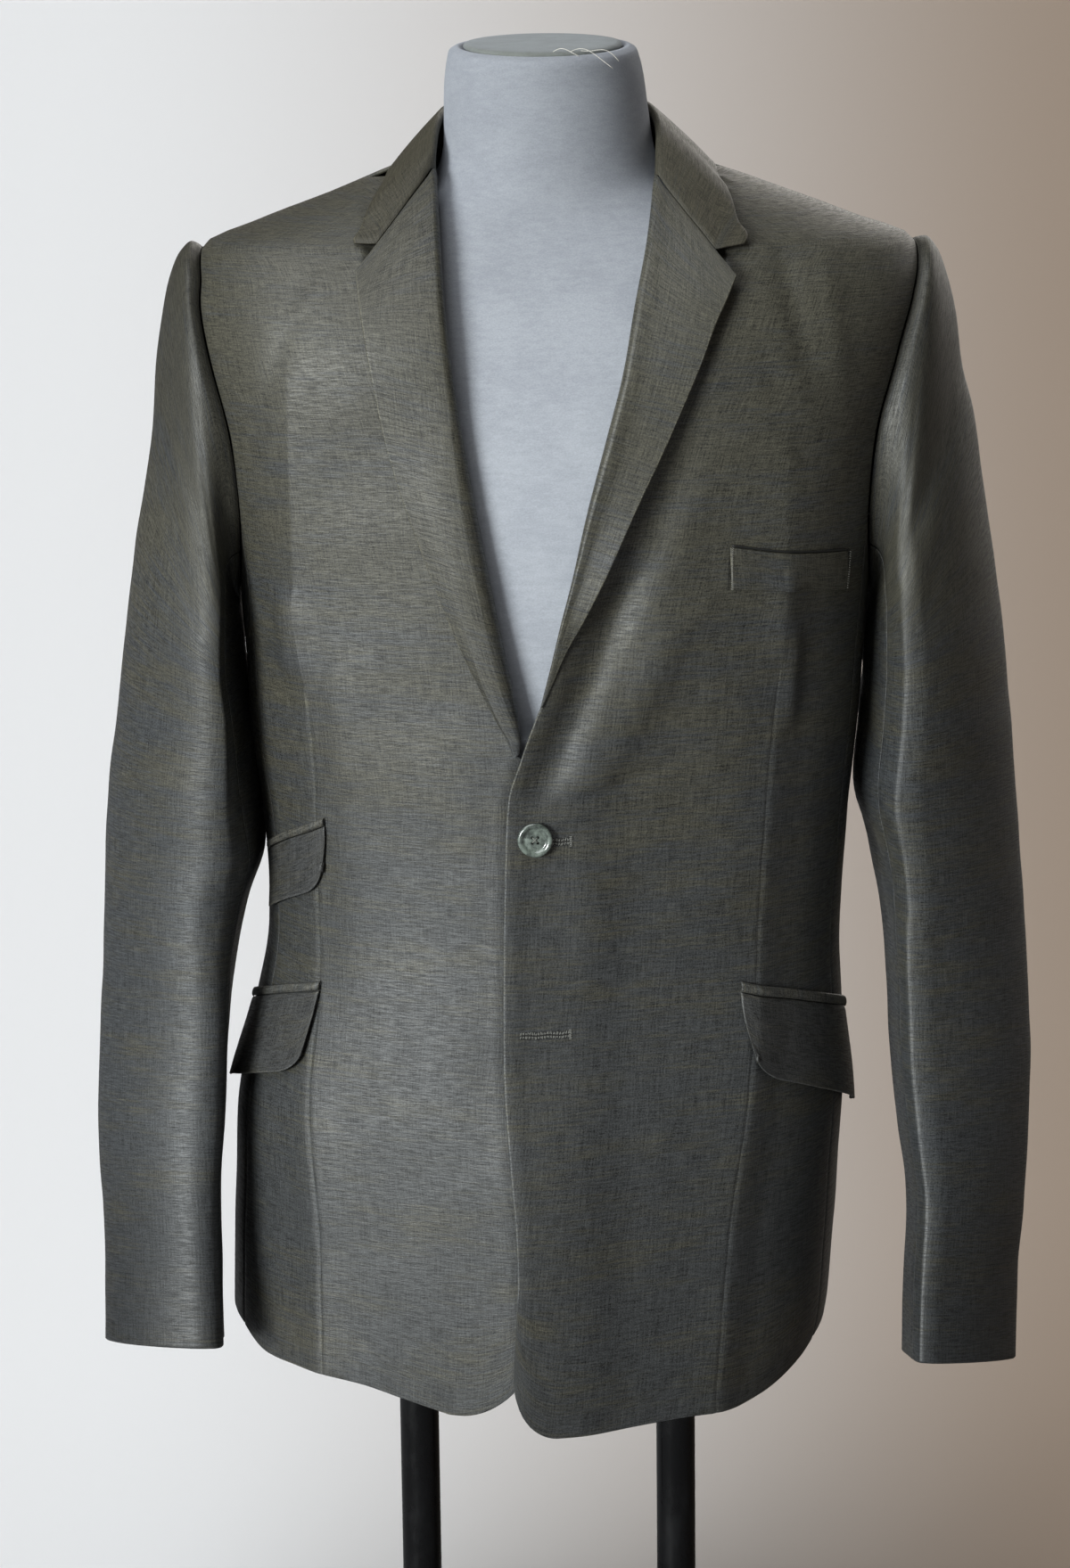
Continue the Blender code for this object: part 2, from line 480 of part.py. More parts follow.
def front_piece(name, side, edge_rows, corner, wrap, material):
    """A front: hem to shoulder, front edge and roll to side seam, armhole and shoulder seam."""
    edge = table(EDGE_COLUMNS, edge_rows)
    share = np.array((0.0, 0.02, 0.06, 0.12, 0.20, 0.30, 0.42, 0.54, 0.66, 0.78, 0.89, 0.97, 1.0))
    join_z = float(side_top(SIDE_SEAM_FRONT))
    grid = []
    for kind, value in body_levels(join_z):
        z_edge = HEM_TOP if kind == "hem" else value
        inner = angle_of(smooth(z_edge, edge["z"], edge["x"]), z_edge)
        outer = side * (piece_edge(z_edge, join_z, SIDE_SEAM_FRONT) - seam_angle(z_edge))
        angle = inner + (outer - inner) * share
        z = np.full(len(share), z_edge)
        if kind == "hem":
            x = ring_point(BODY, angle, z)[:, 0]
            from_edge = np.abs(x - x[0])
            inside = np.clip(1 - from_edge / corner[0], 0.0, 1.0)
            rise = corner[1] * (1 - np.sqrt(1 - inside ** 2))
            under = angle if wrap else np.minimum(angle, math.radians(-13.0))
            low = hem_z(under) + rise
            z = low + (HEM_TOP - low) * value
        lift = np.zeros(len(share))
        if wrap:
            x = ring_point(BODY, angle, z)[:, 0]
            lift = WRAP_LIFT * ease(-x, -WRAP_OUTER, -WRAP_INNER) * ease(-z, -0.760, -0.700)
        grid.append(body_point(angle, z, lift))
    return cloth_wall(name, np.array(grid), BODY_CLOTH, material, away_from_axis)


def piece_edge(z, join_z, seam):
    """Angle of a front's or back's outer edge: side seam, armhole, then shoulder seam."""
    if z <= join_z:
        return seam
    if z >= TIP_Z:
        return np.pi / 2
    return float(armhole_angle(z, back=seam > np.pi / 2))


def seam_angle(z):
    """Half a seam gap, as an angle at the side of the body."""
    return SEAM_GAP / 2 / float(smooth(z, BODY["z"], BODY["half_width"]))


def side_top(angle):
    """Height of the armhole's lower edge at an angle between the side seams."""
    heights = armhole_z(np.linspace(0.5, 1.0, 60))
    back = abs(angle) > np.pi / 2
    angles = armhole_angle(heights, back)
    order = np.argsort(angles)
    return np.interp(abs(angle), angles[order], heights[order])


def side_piece(name, side, material):
    """Side body: hem to underarm between its two seams."""
    grid = []
    share = np.array((0.0, 0.06, 0.27, 0.5, 0.73, 0.94, 1.0))
    levels = [("hem", value) for value in HEM_SHARES] + [("height", z) for z in SIDE_HEIGHTS]
    for kind, value in levels:
        z_edge = HEM_TOP if kind == "hem" else value
        low = SIDE_SEAM_FRONT + seam_angle(z_edge)
        high = SIDE_SEAM_BACK - seam_angle(z_edge)
        angle = side * (low + (high - low) * share)
        z = np.full(len(share), z_edge)
        if kind == "hem":
            start = hem_z(angle)
            z = start + (HEM_TOP - start) * value
        grid.append(body_point(angle, z))
    top = np.array([side_top(abs(a)) for a in angle])
    grid.append(body_point(angle, top))
    return cloth_wall(name, np.array(grid), BODY_CLOTH, material, away_from_axis)


def back_piece(name, side, material):
    """Half back: centre seam to side seam, armhole and shoulder seam."""
    share = np.array((0.0, 0.03, 0.15, 0.30, 0.45, 0.60, 0.74, 0.87, 0.97, 1.0))
    join_z = float(side_top(SIDE_SEAM_BACK))
    grid = []
    for kind, value in body_levels(join_z):
        z_edge = HEM_TOP if kind == "hem" else value
        inner = side * (np.pi - seam_angle(z_edge))
        outer = side * (piece_edge(z_edge, join_z, SIDE_SEAM_BACK) + seam_angle(z_edge))
        angle = inner + (outer - inner) * share
        z = np.full(len(share), z_edge)
        if kind == "hem":
            low = hem_z(angle)
            z = low + (HEM_TOP - low) * value
        grid.append(body_point(angle, z))
    return cloth_wall(name, np.array(grid), BODY_CLOTH, material, away_from_axis)


# ---------------------------------------------------------------- lapels and collar
def roll_section(crest, fall, face, radius, turns):
    """Points round a soft fold, from the face side over the crest to the hidden side.

    The centre of the fold lies one radius from the crest along the fall; each point is that
    centre plus the radius along a direction that turns from the face's normal to its reverse.
    """
    centre = crest + fall * radius[..., None]
    points = []
    for turn in turns:
        way = face * np.cos(turn) - fall * np.sin(turn)
        points.append(centre + way * radius[..., None])
    return points


def unit(vector):
    """Vectors scaled to length 1."""
    return vector / np.linalg.norm(vector, axis=-1, keepdims=True)


def lapel_frame(lapel_rows, at):
    """Crest, outer edge, face direction, fall direction and sizes of a lapel at its levels."""
    rows = table(LAPEL_COLUMNS, lapel_rows)
    knots = np.linspace(0.0, 1.0, len(lapel_rows))
    value = {column: smooth(at, knots, rows[column]) for column in LAPEL_COLUMNS}
    radius = value["roll_radius"]
    crest = front_point(value["roll_x"], value["roll_z"], LAPEL_LIFT - radius * 0.45)
    edge = front_point(value["edge_x"], value["edge_z"], LAPEL_LIFT)
    face = outward(BODY, crest)
    fall = edge - crest
    fall = unit(fall - face * np.sum(fall * face, axis=-1, keepdims=True))
    return crest, edge, face, fall, value


def lapel_face(value, length, share):
    """Points of a lapel's face at a share of the way from its roll to its outer edge."""
    start = 2.2 * value["roll_radius"] / length
    t = start + (1 - start) * share
    x = value["roll_x"] + (value["edge_x"] - value["roll_x"]) * t
    z = value["roll_z"] + (value["edge_z"] - value["roll_z"]) * t
    lift = LAPEL_LIFT + value["roll_radius"] * 0.45 * (1 - ease(share, 0.0, 0.6))
    return front_point(x, z, lift)


def lapel_piece(name, lapel_rows, material):
    """Lapel: from its hidden return over the roll and across the chest to its outer edge."""
    at = np.linspace(0.0, 1.0, 17)
    crest, edge, face, fall, value = lapel_frame(lapel_rows, at)
    length = np.linalg.norm(edge - crest, axis=-1)
    columns = roll_section(crest, fall, face, value["roll_radius"], np.radians(ROLL_TURNS))
    for share in (0.0, 0.25, 0.5, 0.75, 1.0):
        columns.append(lapel_face(value, length, share))
    grid = np.stack(columns, axis=1)
    return cloth_wall(name, grid, FOLD_CLOTH, material, lambda centres: faces_of(grid, centres))


def faces_of(grid, centres):
    """Facing for a folded wall: only its last columns, away from the body, count."""
    last = grid[:, -2:].reshape(-1, 3)
    near = np.min(np.linalg.norm(centres[:, None] - last[None], axis=-1), axis=1) < 0.02
    return (centres - np.array([0.0, 0.02, 0.0])) * np.array([1.0, 1.0, 0.0]) * near[:, None]


def gorge_section(lapel_rows):
    """The collar's first section: the lapel's top edge, moved up by the seam gap.

    It holds the points of the rounded fold and three points down to the notch, and the same
    points lie on the lapel, so that the two pieces meet all along the seam.
    """
    crest, edge, face, fall, value = lapel_frame(lapel_rows, np.array([1.0]))
    length = np.linalg.norm(edge - crest, axis=-1)
    folded = roll_section(crest, fall, face, value["roll_radius"], np.radians(ROLL_TURNS))
    points = folded + [lapel_face(value, length, share * GORGE_SHARE) for share in (0.25, 0.6, 1.0)]
    up = np.cross(face[0], fall[0])
    up = up * np.sign(up[2]) * (SEAM_GAP + 0.0002)
    return np.concatenate(points) + up


def collar_piece(name, material):
    """Collar: stand inside the neck, rounded fold, and fall down to the outer edge.

    Each section goes from the foot of the stand over the fold and down to the outer edge. The
    sections near the lapels turn into the gorge seam, so that the end of the fall is cut free
    from the notch to the collar's point.
    """
    rows = table(COLLAR_COLUMNS, COLLAR_ROWS)
    last = len(COLLAR_ROWS) - 1.0
    ends = [last - 1, last - 0.6, last - 0.3, last]
    at = np.concatenate([[0.0, 0.4, 0.8], np.arange(1.25, last - 1, 0.75), ends])
    value = {column: smooth(at, np.arange(last + 1), rows[column]) for column in COLLAR_COLUMNS}
    crest = np.stack([value["crest_x"], value["crest_y"], value["crest_z"]], axis=-1)
    edge = body_point(np.radians(value["edge_angle"]), value["edge_z"], value["lift"])
    along = unit(np.gradient(crest, axis=0))
    fall = edge - crest
    fall = unit(fall - along * np.sum(fall * along, axis=-1, keepdims=True))
    face = np.cross(fall, along)
    from_neck = crest - np.array([0.001, 0.012, 1.005])
    face *= np.sign(np.sum(face * from_neck, axis=-1, keepdims=True))
    folded = roll_section(crest, fall, face, np.full(len(at), COLLAR_ROLL), np.radians(ROLL_TURNS))
    radial = (crest - np.array([0.001, 0.004, 0.0])) * np.array([1.0, 1.0, 0.0])
    foot = crest + unit(radial) * value["spread"][:, None]
    foot[:, 2] -= value["drop"]
    columns = [foot] + folded
    top = folded[-1]
    for share in (0.25, 0.5, 0.75):
        columns.append(top + (edge - top) * share + face * 0.003 * share * (1 - share))
    grid = np.stack(columns + [edge], axis=1)
    for lapel_rows, end, distance in ((RIGHT_LAPEL_ROWS, 0, at), (LEFT_LAPEL_ROWS, -1, last - at)):
        shift = gorge_section(lapel_rows) - grid[end, 1:-1]
        fade = (1 - ease(distance, 0.0, 1.5))[:, None, None]
        grid[:, 1:-1] += shift[None] * fade
    return cloth_wall(name, grid, FOLD_CLOTH, material, lambda centres: faces_of(grid, centres))


# ---------------------------------------------------------------- sleeves
def sleeve_grid(side_name, sleeve_rows, angles, sections=23):
    """Grid of a sleeve's outer face between two lines down it.

    Each section is a rounded loop between the outer and inner points of its row: the middle
    plus half their difference times the cosine, and the half depth times the sine, with its
    front raised by rise, leaned to the inner side and pressed to a soft line. The first sections
    bend onto the armhole of the body.
    """
    press = dict(zip(PRESS_COLUMNS, [row for row in PRESS_ROWS if row[0] == side_name][0]))
    rows = table(SLEEVE_COLUMNS, sleeve_rows)
    knots = np.arange(len(sleeve_rows), dtype=float)
    at = np.linspace(0.0, knots[-1], sections)
    at[1:5] = (0.5, 1.0, 1.6, 2.3)
    value = {column: smooth(at, knots, rows[column]) for column in SLEEVE_COLUMNS}
    outer = np.stack([value["outer_x"], value["middle_y"], value["outer_z"]], axis=-1)
    inner = np.stack([value["inner_x"], value["middle_y"], value["inner_z"]], axis=-1)
    middle = (outer + inner) / 2
    half = (outer - inner) / 2
    pressed = ease(at, 1.0, 6.0)[:, None]
    round_it = (np.degrees(angles) - press["angle"] + 180) % 360 - 180
    ridge = press["height"] * np.exp(-(round_it / press["half_angle"]) ** 2)[None, :] * pressed
    cosine, sine = np.cos(angles)[None, :], np.sin(angles)[None, :]
    lean = press["lean"] * np.clip(sine, 0.0, None) ** 2 * pressed
    length = np.linalg.norm(half, axis=-1)[:, None]
    across = cosine - lean + cosine * ridge / length
    depth = (value["half_depth"][:, None] + ridge) * sine
    points = middle[:, None] + half[:, None] * across[..., None]
    points[..., 1] -= depth
    points[..., 2] += depth * value["rise"][:, None]
    start = points[0]
    on_body = body_x(start[:, 1], start[:, 2], np.sign(value["outer_x"][0]))
    shift = on_body - start[:, 0]
    fade = np.clip(1 - at / 6.0, 0.0, 1.0) ** 2
    points[..., 0] += shift[None, :] * fade[:, None]
    return points


def body_x(y, z, side):
    """Where the side of the body is, seen from the side at y and z."""
    at = section(BODY, z)
    depth = np.where(y < RING_CENTRE_Y, at["front_y"], at["back_y"])
    share = np.clip(np.abs(y - RING_CENTRE_Y) / depth, 0.0, 1.0)
    across = (1 - share ** at["roundness"]) ** (1 / at["roundness"])
    return at["centre_x"] + side * at["half_width"] * across


def sleeve_pieces(side_name, sleeve_rows, material):
    """Top sleeve and under sleeve, parted at the front and back seams."""
    gap = math.radians(0.35)
    share = np.array((0.0, 0.02, 0.12, 0.23, 0.34, 0.45, 0.55, 0.65, 0.74, 0.81, 0.87, 0.93, 0.98,
                      1.0))
    first = BACK_SLEEVE_SEAM - 2 * math.pi + gap
    top = first + (FRONT_SLEEVE_SEAM - gap - first) * share
    share = np.array((0.0, 0.04, 0.23, 0.42, 0.60, 0.78, 0.96, 1.0))
    under = FRONT_SLEEVE_SEAM + gap + (BACK_SLEEVE_SEAM - FRONT_SLEEVE_SEAM - 2 * gap) * share
    for part, angles in (("top", top), ("under", under)):
        points = sleeve_grid(side_name, sleeve_rows, angles)
        axis = sleeve_grid(side_name, sleeve_rows, np.array([0.0, math.pi])).mean(axis=1)

        def facing(centres):
            nearest = np.argmin(np.linalg.norm(centres[:, None] - axis[None], axis=-1), axis=1)
            return centres - axis[nearest]
        cloth_wall(f"sleeve_{part}_{side_name}", points, SLEEVE_CLOTH, material, facing)


# ---------------------------------------------------------------- pockets, welt and button
def pocket_pieces(material):
    """Strip and flap of each pocket, bent round the body."""
    for row in POCKET_ROWS:
        at = dict(zip(POCKET_COLUMNS, row))
        start, end = math.radians(at["top_front"]), math.radians(at["top_back"])
        across = np.array((0.0, 0.01, 0.03, 0.06, 0.09, 0.13, 0.30, 0.50, 0.70, 0.86, 1.0))
        angle = start + (end - start) * across
        top = at["top_front_z"] + (at["top_back_z"] - at["top_front_z"]) * across
        strip = [body_point(angle, top + at["strip"] * share, 0.0010 + LAY_GAP)
                 for share in (0.0, 1.0)]
        cloth_wall(f"jet_{at['name']}", np.array(strip), 0.0010, material, away_from_axis)
        grid = []
        for share in (0.0, 0.12, 0.35, 0.60, 0.80, 0.93, 1.0):
            down = (at["depth"] + (at["back_depth"] - at["depth"]) * across) * share
            inside = np.clip(1 - across / at["corner_share"], 0.0, 1.0)
            rise = at["corner"] * (1 - np.sqrt(1 - inside ** 2)) * share
            move = at["cut_back"] * share ** 2 / 0.13
            flap_angle = angle + np.sign(start) * move * (1 - across)
            lift = FLAP_CLOTH + LAY_GAP + at["stand_off"] * share * (0.4 + 0.6 * across)
            grid.append(body_point(flap_angle, top - 0.0005 - down + rise, lift))
        name = f"flap_{at['name']}"
        cloth_wall(name, np.array(grid), FLAP_CLOTH, material, away_from_axis)


def welt_piece(material):
    """Breast welt, a straight strip on the left chest."""
    rows = table(WELT_COLUMNS, WELT_ROWS)
    x = np.linspace(WELT_ROWS[0][0], WELT_ROWS[-1][0], 7)
    top = np.interp(x, rows["x"], rows["top_z"])
    bottom = np.interp(x, rows["x"], rows["bottom_z"])
    lift = FLAP_CLOTH + LAY_GAP
    grid = [front_point(x - 0.0012 * share, bottom + (top - bottom) * share, lift)
            for share in (0.0, 0.5, 1.0)]
    return cloth_wall("breast_welt", np.array(grid), FLAP_CLOTH, material, away_from_axis)


def turned(name, profile, segments, material):
    """Closed turned solid: a profile of radius and height that starts and ends on the axis."""
    mesh = bpy.data.meshes.new(name)
    flat = [(radius, 0.0, height) for radius, height in profile]
    mesh.from_pydata(flat, [(k, k + 1) for k in range(len(flat) - 1)], [])
    piece = new_object(name, mesh, material)
    screw = piece.modifiers.new("turn", "SCREW")
    screw.steps = segments
    screw.render_steps = segments
    screw.use_merge_vertices = True
    screw.merge_threshold = 0.00001
    return piece


def button_piece(material):
    """Four-hole button with a raised rim, standing just off the front."""
    radius = BUTTON_RADIUS
    profile = ((0.0, 0.0026), (0.0050, 0.0026), (0.0062, 0.0024), (0.0072, 0.0029),
               (0.0086, 0.0033), (radius - 0.0004, 0.0029), (radius, 0.0021),
               (radius - 0.0008, 0.0010), (0.0060, 0.0002), (0.0, 0.0))
    piece = turned("button", profile, 30, material)
    point = front_point(np.array(BUTTON_CENTRE[0]), np.array(BUTTON_CENTRE[1]), WRAP_LIFT + 0.0009)
    piece.location = point
    piece.rotation_euler = (math.pi / 2, 0.0, 0.0)
    cutters = bpy.data.collections["cutters"]
    for step_x in (-1, 1):
        for step_z in (-1, 1):
            bpy.ops.mesh.primitive_cylinder_add(vertices=10, radius=0.0009, depth=0.012)
            cutter = bpy.context.object
            cutter.name = f"button_hole_{step_x}_{step_z}"
            for collection in cutter.users_collection:
                collection.objects.unlink(cutter)
            cutters.objects.link(cutter)
            cutter.location = (point[0] + step_x * 0.0016, point[1], point[2] + step_z * 0.0016)
            cutter.rotation_euler = (math.pi / 2, 0.0, 0.0)
            cutter.display_type = "WIRE"
            cutter.hide_render = True
            cut = piece.modifiers.new(cutter.name, "BOOLEAN")
            cut.object = cutter
            cut.operation = "DIFFERENCE"
            cut.solver = "EXACT"
    return piece


# ---------------------------------------------------------------- form and stand
def form_piece(material, cap_material):
    """Closed, smooth body of the form with a slanted neck top, and the cap on it."""
    heights = np.concatenate([np.array(FORM["z"][:2]), np.linspace(0.350, 0.900, 10),
                              np.array(FORM["z"][11:])])
    angles = np.linspace(0.0, 2 * np.pi, 33)[:-1]
    rings = []
    for z in heights:
        ring = ring_point(FORM, angles, np.full(len(angles), z))
        ring[:, 2] += NECK_TILT * ring[:, 1] * float(ease(z, 0.99, 1.05))
        rings.append(ring)
    grid = np.array(rings)
    mesh = grid_mesh("form_torso", grid, away_from_axis, closed_columns=True)
    close_ends(mesh)
    mesh.shade_smooth()
    new_object("form_torso", mesh, material)
    top = grid[-1]
    centre = top.mean(axis=0)
    cap = []
    for grow, rise in ((-0.0060, 0.0004), (-0.0045, 0.0009), (-0.0045, 0.0017), (-0.0062, 0.0026)):
        flat = (top - centre) * np.array([1.0, 1.0, 0.0])
        ring = top + unit(flat) * grow
        ring[:, 2] = centre[2] + NECK_TILT * (ring[:, 1] - centre[1]) + rise
        cap.append(ring)
    cap_mesh = grid_mesh("neck_cap", np.array(cap), away_from_axis, closed_columns=True)
    close_ends(cap_mesh)
    new_object("neck_cap", cap_mesh, cap_material)


def close_ends(mesh):
    """Close the first and last loop of a tube with one flat face each."""
    work = bmesh.new()
    work.from_mesh(mesh)
    bmesh.ops.holes_fill(work, edges=[edge for edge in work.edges if edge.is_boundary], sides=0)
    bmesh.ops.recalc_face_normals(work, faces=work.faces)
    work.to_mesh(mesh)
    work.free()


def stand_pieces(material):
    """Two posts from the form's flat bottom down to a plain base plate."""
    width, depth, height = PLATE_SIZE
    bpy.ops.mesh.primitive_cube_add(size=1.0)
    plate = bpy.context.object
    plate.name = "base_plate"
    for vertex in plate.data.vertices:
        vertex.co.x = vertex.co.x * width + PLATE_CENTRE[0]
        vertex.co.y = vertex.co.y * depth + PLATE_CENTRE[1]
        vertex.co.z = vertex.co.z * height + height / 2
    bevel = plate.modifiers.new("edges", "BEVEL")
    bevel.width = 0.002
    bevel.segments = 1
    move_in(plate, material)
    bottom = height + SEAM_GAP
    top = FORM_ROWS[0][0] - SEAM_GAP
    for name, x in zip(("post_right", "post_left"), POST_X):
        bpy.ops.mesh.primitive_cylinder_add(vertices=32, radius=POST_RADIUS, depth=top - bottom)
        post = bpy.context.object
        post.name = name
        for vertex in post.data.vertices:
            vertex.co.x += x
            vertex.co.z += (top + bottom) / 2
        move_in(post, material)


def move_in(piece, material):
    """Move a primitive into the jacket's collection and give it its material."""
    for collection in piece.users_collection:
        collection.objects.unlink(piece)
    bpy.data.collections["suit_jacket"].objects.link(piece)
    piece.data.materials.append(material)


def centre_model():
    """Hang every piece and cutter on one empty, which centres the outline on the origin."""
    anchor = bpy.data.objects.new("model_centre", None)
    bpy.data.collections["suit_jacket"].objects.link(anchor)
    for name in ("suit_jacket", "cutters"):
        for piece in bpy.data.collections[name].objects:
            if piece is not anchor:
                piece.parent = anchor
    anchor.location = (BODY_OFFSET_X, 0.0, 0.0)


def build():
    """Clear the scene and make every piece."""
    for old in list(bpy.data.objects):
        bpy.data.objects.remove(old, do_unlink=True)
    for name in ("suit_jacket", "cutters"):
        bpy.context.scene.collection.children.link(bpy.data.collections.new(name))
    cloth = make_material("jacket_cloth", CLOTH_COLOUR, 0.62)
    front_piece("front_left", 1, LEFT_EDGE_ROWS, LEFT_CORNER, True, cloth)
    front_piece("front_right", -1, RIGHT_EDGE_ROWS, RIGHT_CORNER, False, cloth)
    for side, word in ((1, "left"), (-1, "right")):
        side_piece(f"side_{word}", side, cloth)
        back_piece(f"back_{word}", side, cloth)
    lapel_piece("lapel_left", LEFT_LAPEL_ROWS, cloth)
    lapel_piece("lapel_right", RIGHT_LAPEL_ROWS, cloth)
    collar_piece("collar", cloth)
    sleeve_pieces("left", LEFT_SLEEVE_ROWS, cloth)
    sleeve_pieces("right", RIGHT_SLEEVE_ROWS, cloth)
    pocket_pieces(cloth)
    welt_piece(cloth)
    button_piece(make_material("button_resin", BUTTON_COLOUR, 0.25))
    form_piece(make_material("form_flock", FORM_COLOUR, 0.9),
               make_material("cap_flock", CAP_COLOUR, 0.9))
    stand_pieces(make_material("black_steel", STEEL_COLOUR, 0.3, 0.6))
    centre_model()


build()
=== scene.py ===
"""Suit jacket worn on a limbless dress form, with the finish of every piece.

The cloth is cut as the solids are: body pieces come from one stack of rounded rings, sleeves from
a row of slanted loops, and what lies on a panel is the panel's own surface moved out. Here each
piece is a finer shell with its creases, rounded edges, seam lines and sewing. Metres, +Z up, the
front faces -Y and +X is the wearer's left. Rows are written before the model is centred: every
finished piece is moved by CENTRE_SHIFT along X.
"""
import math

import bmesh
import bpy
import numpy as np
from mathutils import Matrix, Vector


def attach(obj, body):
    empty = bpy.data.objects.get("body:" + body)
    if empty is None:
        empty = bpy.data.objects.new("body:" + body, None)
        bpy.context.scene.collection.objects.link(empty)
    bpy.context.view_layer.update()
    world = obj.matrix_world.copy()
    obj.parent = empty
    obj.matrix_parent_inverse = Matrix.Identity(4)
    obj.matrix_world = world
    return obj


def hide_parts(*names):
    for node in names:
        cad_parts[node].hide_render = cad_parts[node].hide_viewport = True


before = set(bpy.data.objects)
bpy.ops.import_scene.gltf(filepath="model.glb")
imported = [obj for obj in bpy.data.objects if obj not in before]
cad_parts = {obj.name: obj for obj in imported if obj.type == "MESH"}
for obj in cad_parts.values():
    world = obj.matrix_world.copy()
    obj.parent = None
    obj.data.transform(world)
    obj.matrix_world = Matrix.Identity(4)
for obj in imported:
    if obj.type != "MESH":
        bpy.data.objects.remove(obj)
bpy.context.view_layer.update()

# ---------------------------------------------------------------- sizes of the cut
CENTRE_SHIFT = np.array([-0.0064, 0.0, 0.0])
BODY_CLOTH, FOLD_CLOTH, SLEEVE_CLOTH, FLAP_CLOTH = 0.0018, 0.0015, 0.0014, 0.0014
SEAM_GAP, LAY_GAP = 0.0004, 0.0008
FAR = 0.05                       # distance that stands for no seam or edge near by
BACK_SEAM_SHARE = 0.1            # the centre back seam is nearly shut
RING_CENTRE_Y = 0.005
PANEL_TOP = 0.9965
TIP_Z, UNDERARM_Z, ARMHOLE_DEPTH = 0.9455, 0.7380, 0.0600
SIDE_SEAM_FRONT, SIDE_SEAM_BACK = math.radians(72.0), math.radians(112.0)
HEM_TOP, DART_TOP = 0.345, 0.72
BUTTON_X, BUTTON_Z = -0.0097, 0.6116
POST_RADIUS, POST_X, PLATE_HEIGHT = 0.0121, (-0.0865, 0.0738), 0.008

BODY_COLUMNS = ("z", "centre_x", "half_width", "front_y", "back_y", "roundness")
BODY_ROWS = (
    (0.240, -0.0200, 0.1760, -0.1280, 0.1190, 2.20),
    (0.300, -0.0155, 0.1845, -0.1290, 0.1230, 2.20),
    (0.360, -0.0120, 0.1855, -0.1290, 0.1250, 2.20),
    (0.420, -0.0090, 0.1860, -0.1280, 0.1240, 2.20),
    (0.480, -0.0030, 0.1800, -0.1250, 0.1170, 2.20), (0.540, 0.0015, 0.1740, -0.1220, 0.1060, 2.20),
    (0.600, 0.0030, 0.1765, -0.1210, 0.1020, 2.25), (0.660, 0.0030, 0.1830, -0.1230, 0.1040, 2.30),
    (0.720, 0.0035, 0.1865, -0.1260, 0.1100, 2.35), (0.780, 0.0040, 0.1910, -0.1270, 0.1160, 2.45),
    (0.840, 0.0040, 0.2000, -0.1240, 0.1190, 2.55), (0.885, 0.0045, 0.2105, -0.1160, 0.1180, 2.60),
    (0.915, 0.0065, 0.2150, -0.1040, 0.1130, 2.55), (0.930, 0.0083, 0.2138, -0.0950, 0.1078, 2.50),
    (0.940, 0.0082, 0.2115, -0.0885, 0.1040, 2.45), (0.9455, 0.0078, 0.2088, -0.0847, 0.1018, 2.40),
    (0.950, 0.0075, 0.2022, -0.0812, 0.0997, 2.38), (0.956, 0.0070, 0.1845, -0.0763, 0.0965, 2.35),
    (0.965, 0.0068, 0.1605, -0.0690, 0.0910, 2.30), (0.974, 0.0066, 0.1355, -0.0609, 0.0856, 2.20),
    (0.983, 0.0055, 0.1120, -0.0515, 0.0775, 2.15), (0.990, 0.0040, 0.0930, -0.0425, 0.0710, 2.10),
    (0.997, 0.0030, 0.0740, -0.0340, 0.0650, 2.10),
)
FORM_ROWS = (
    (0.318, -0.0060, 0.1480, -0.0980, 0.0900, 2.2), (0.326, -0.0060, 0.1560, -0.1060, 0.0980, 2.2),
    (0.360, -0.0060, 0.1610, -0.1100, 0.1040, 2.2), (0.420, -0.0050, 0.1630, -0.1110, 0.1050, 2.2),
    (0.480, -0.0020, 0.1590, -0.1060, 0.0990, 2.2), (0.560, 0.0020, 0.1520, -0.1030, 0.0880, 2.2),
    (0.640, 0.0025, 0.1590, -0.1070, 0.0880, 2.3), (0.720, 0.0030, 0.1680, -0.1120, 0.0950, 2.3),
    (0.780, 0.0030, 0.1740, -0.1135, 0.1010, 2.4), (0.840, 0.0030, 0.1800, -0.1105, 0.1040, 2.5),
    (0.885, 0.0035, 0.1810, -0.1020, 0.1030, 2.5), (0.915, 0.0040, 0.1760, -0.0905, 0.0970, 2.4),
    (0.935, 0.0040, 0.1660, -0.0790, 0.0890, 2.3), (0.955, 0.0035, 0.1250, -0.0665, 0.0760, 2.2),
    (0.970, 0.0030, 0.0900, -0.0605, 0.0680, 2.1), (0.982, 0.0030, 0.0700, -0.0590, 0.0640, 2.0),
    (0.992, 0.0030, 0.0640, -0.0580, 0.0615, 2.0), (1.004, 0.0026, 0.0613, -0.0570, 0.0600, 2.0),
    (1.022, 0.0018, 0.0598, -0.0560, 0.0575, 2.0), (1.038, 0.0012, 0.0585, -0.0550, 0.0560, 2.0),
    (1.052, 0.0005, 0.0560, -0.0545, 0.0550, 2.0), (1.056, 0.0003, 0.0546, -0.0532, 0.0537, 2.0),
    (1.058, 0.0003, 0.0515, -0.0502, 0.0507, 2.0),
)
NECK_TILT = 0.10

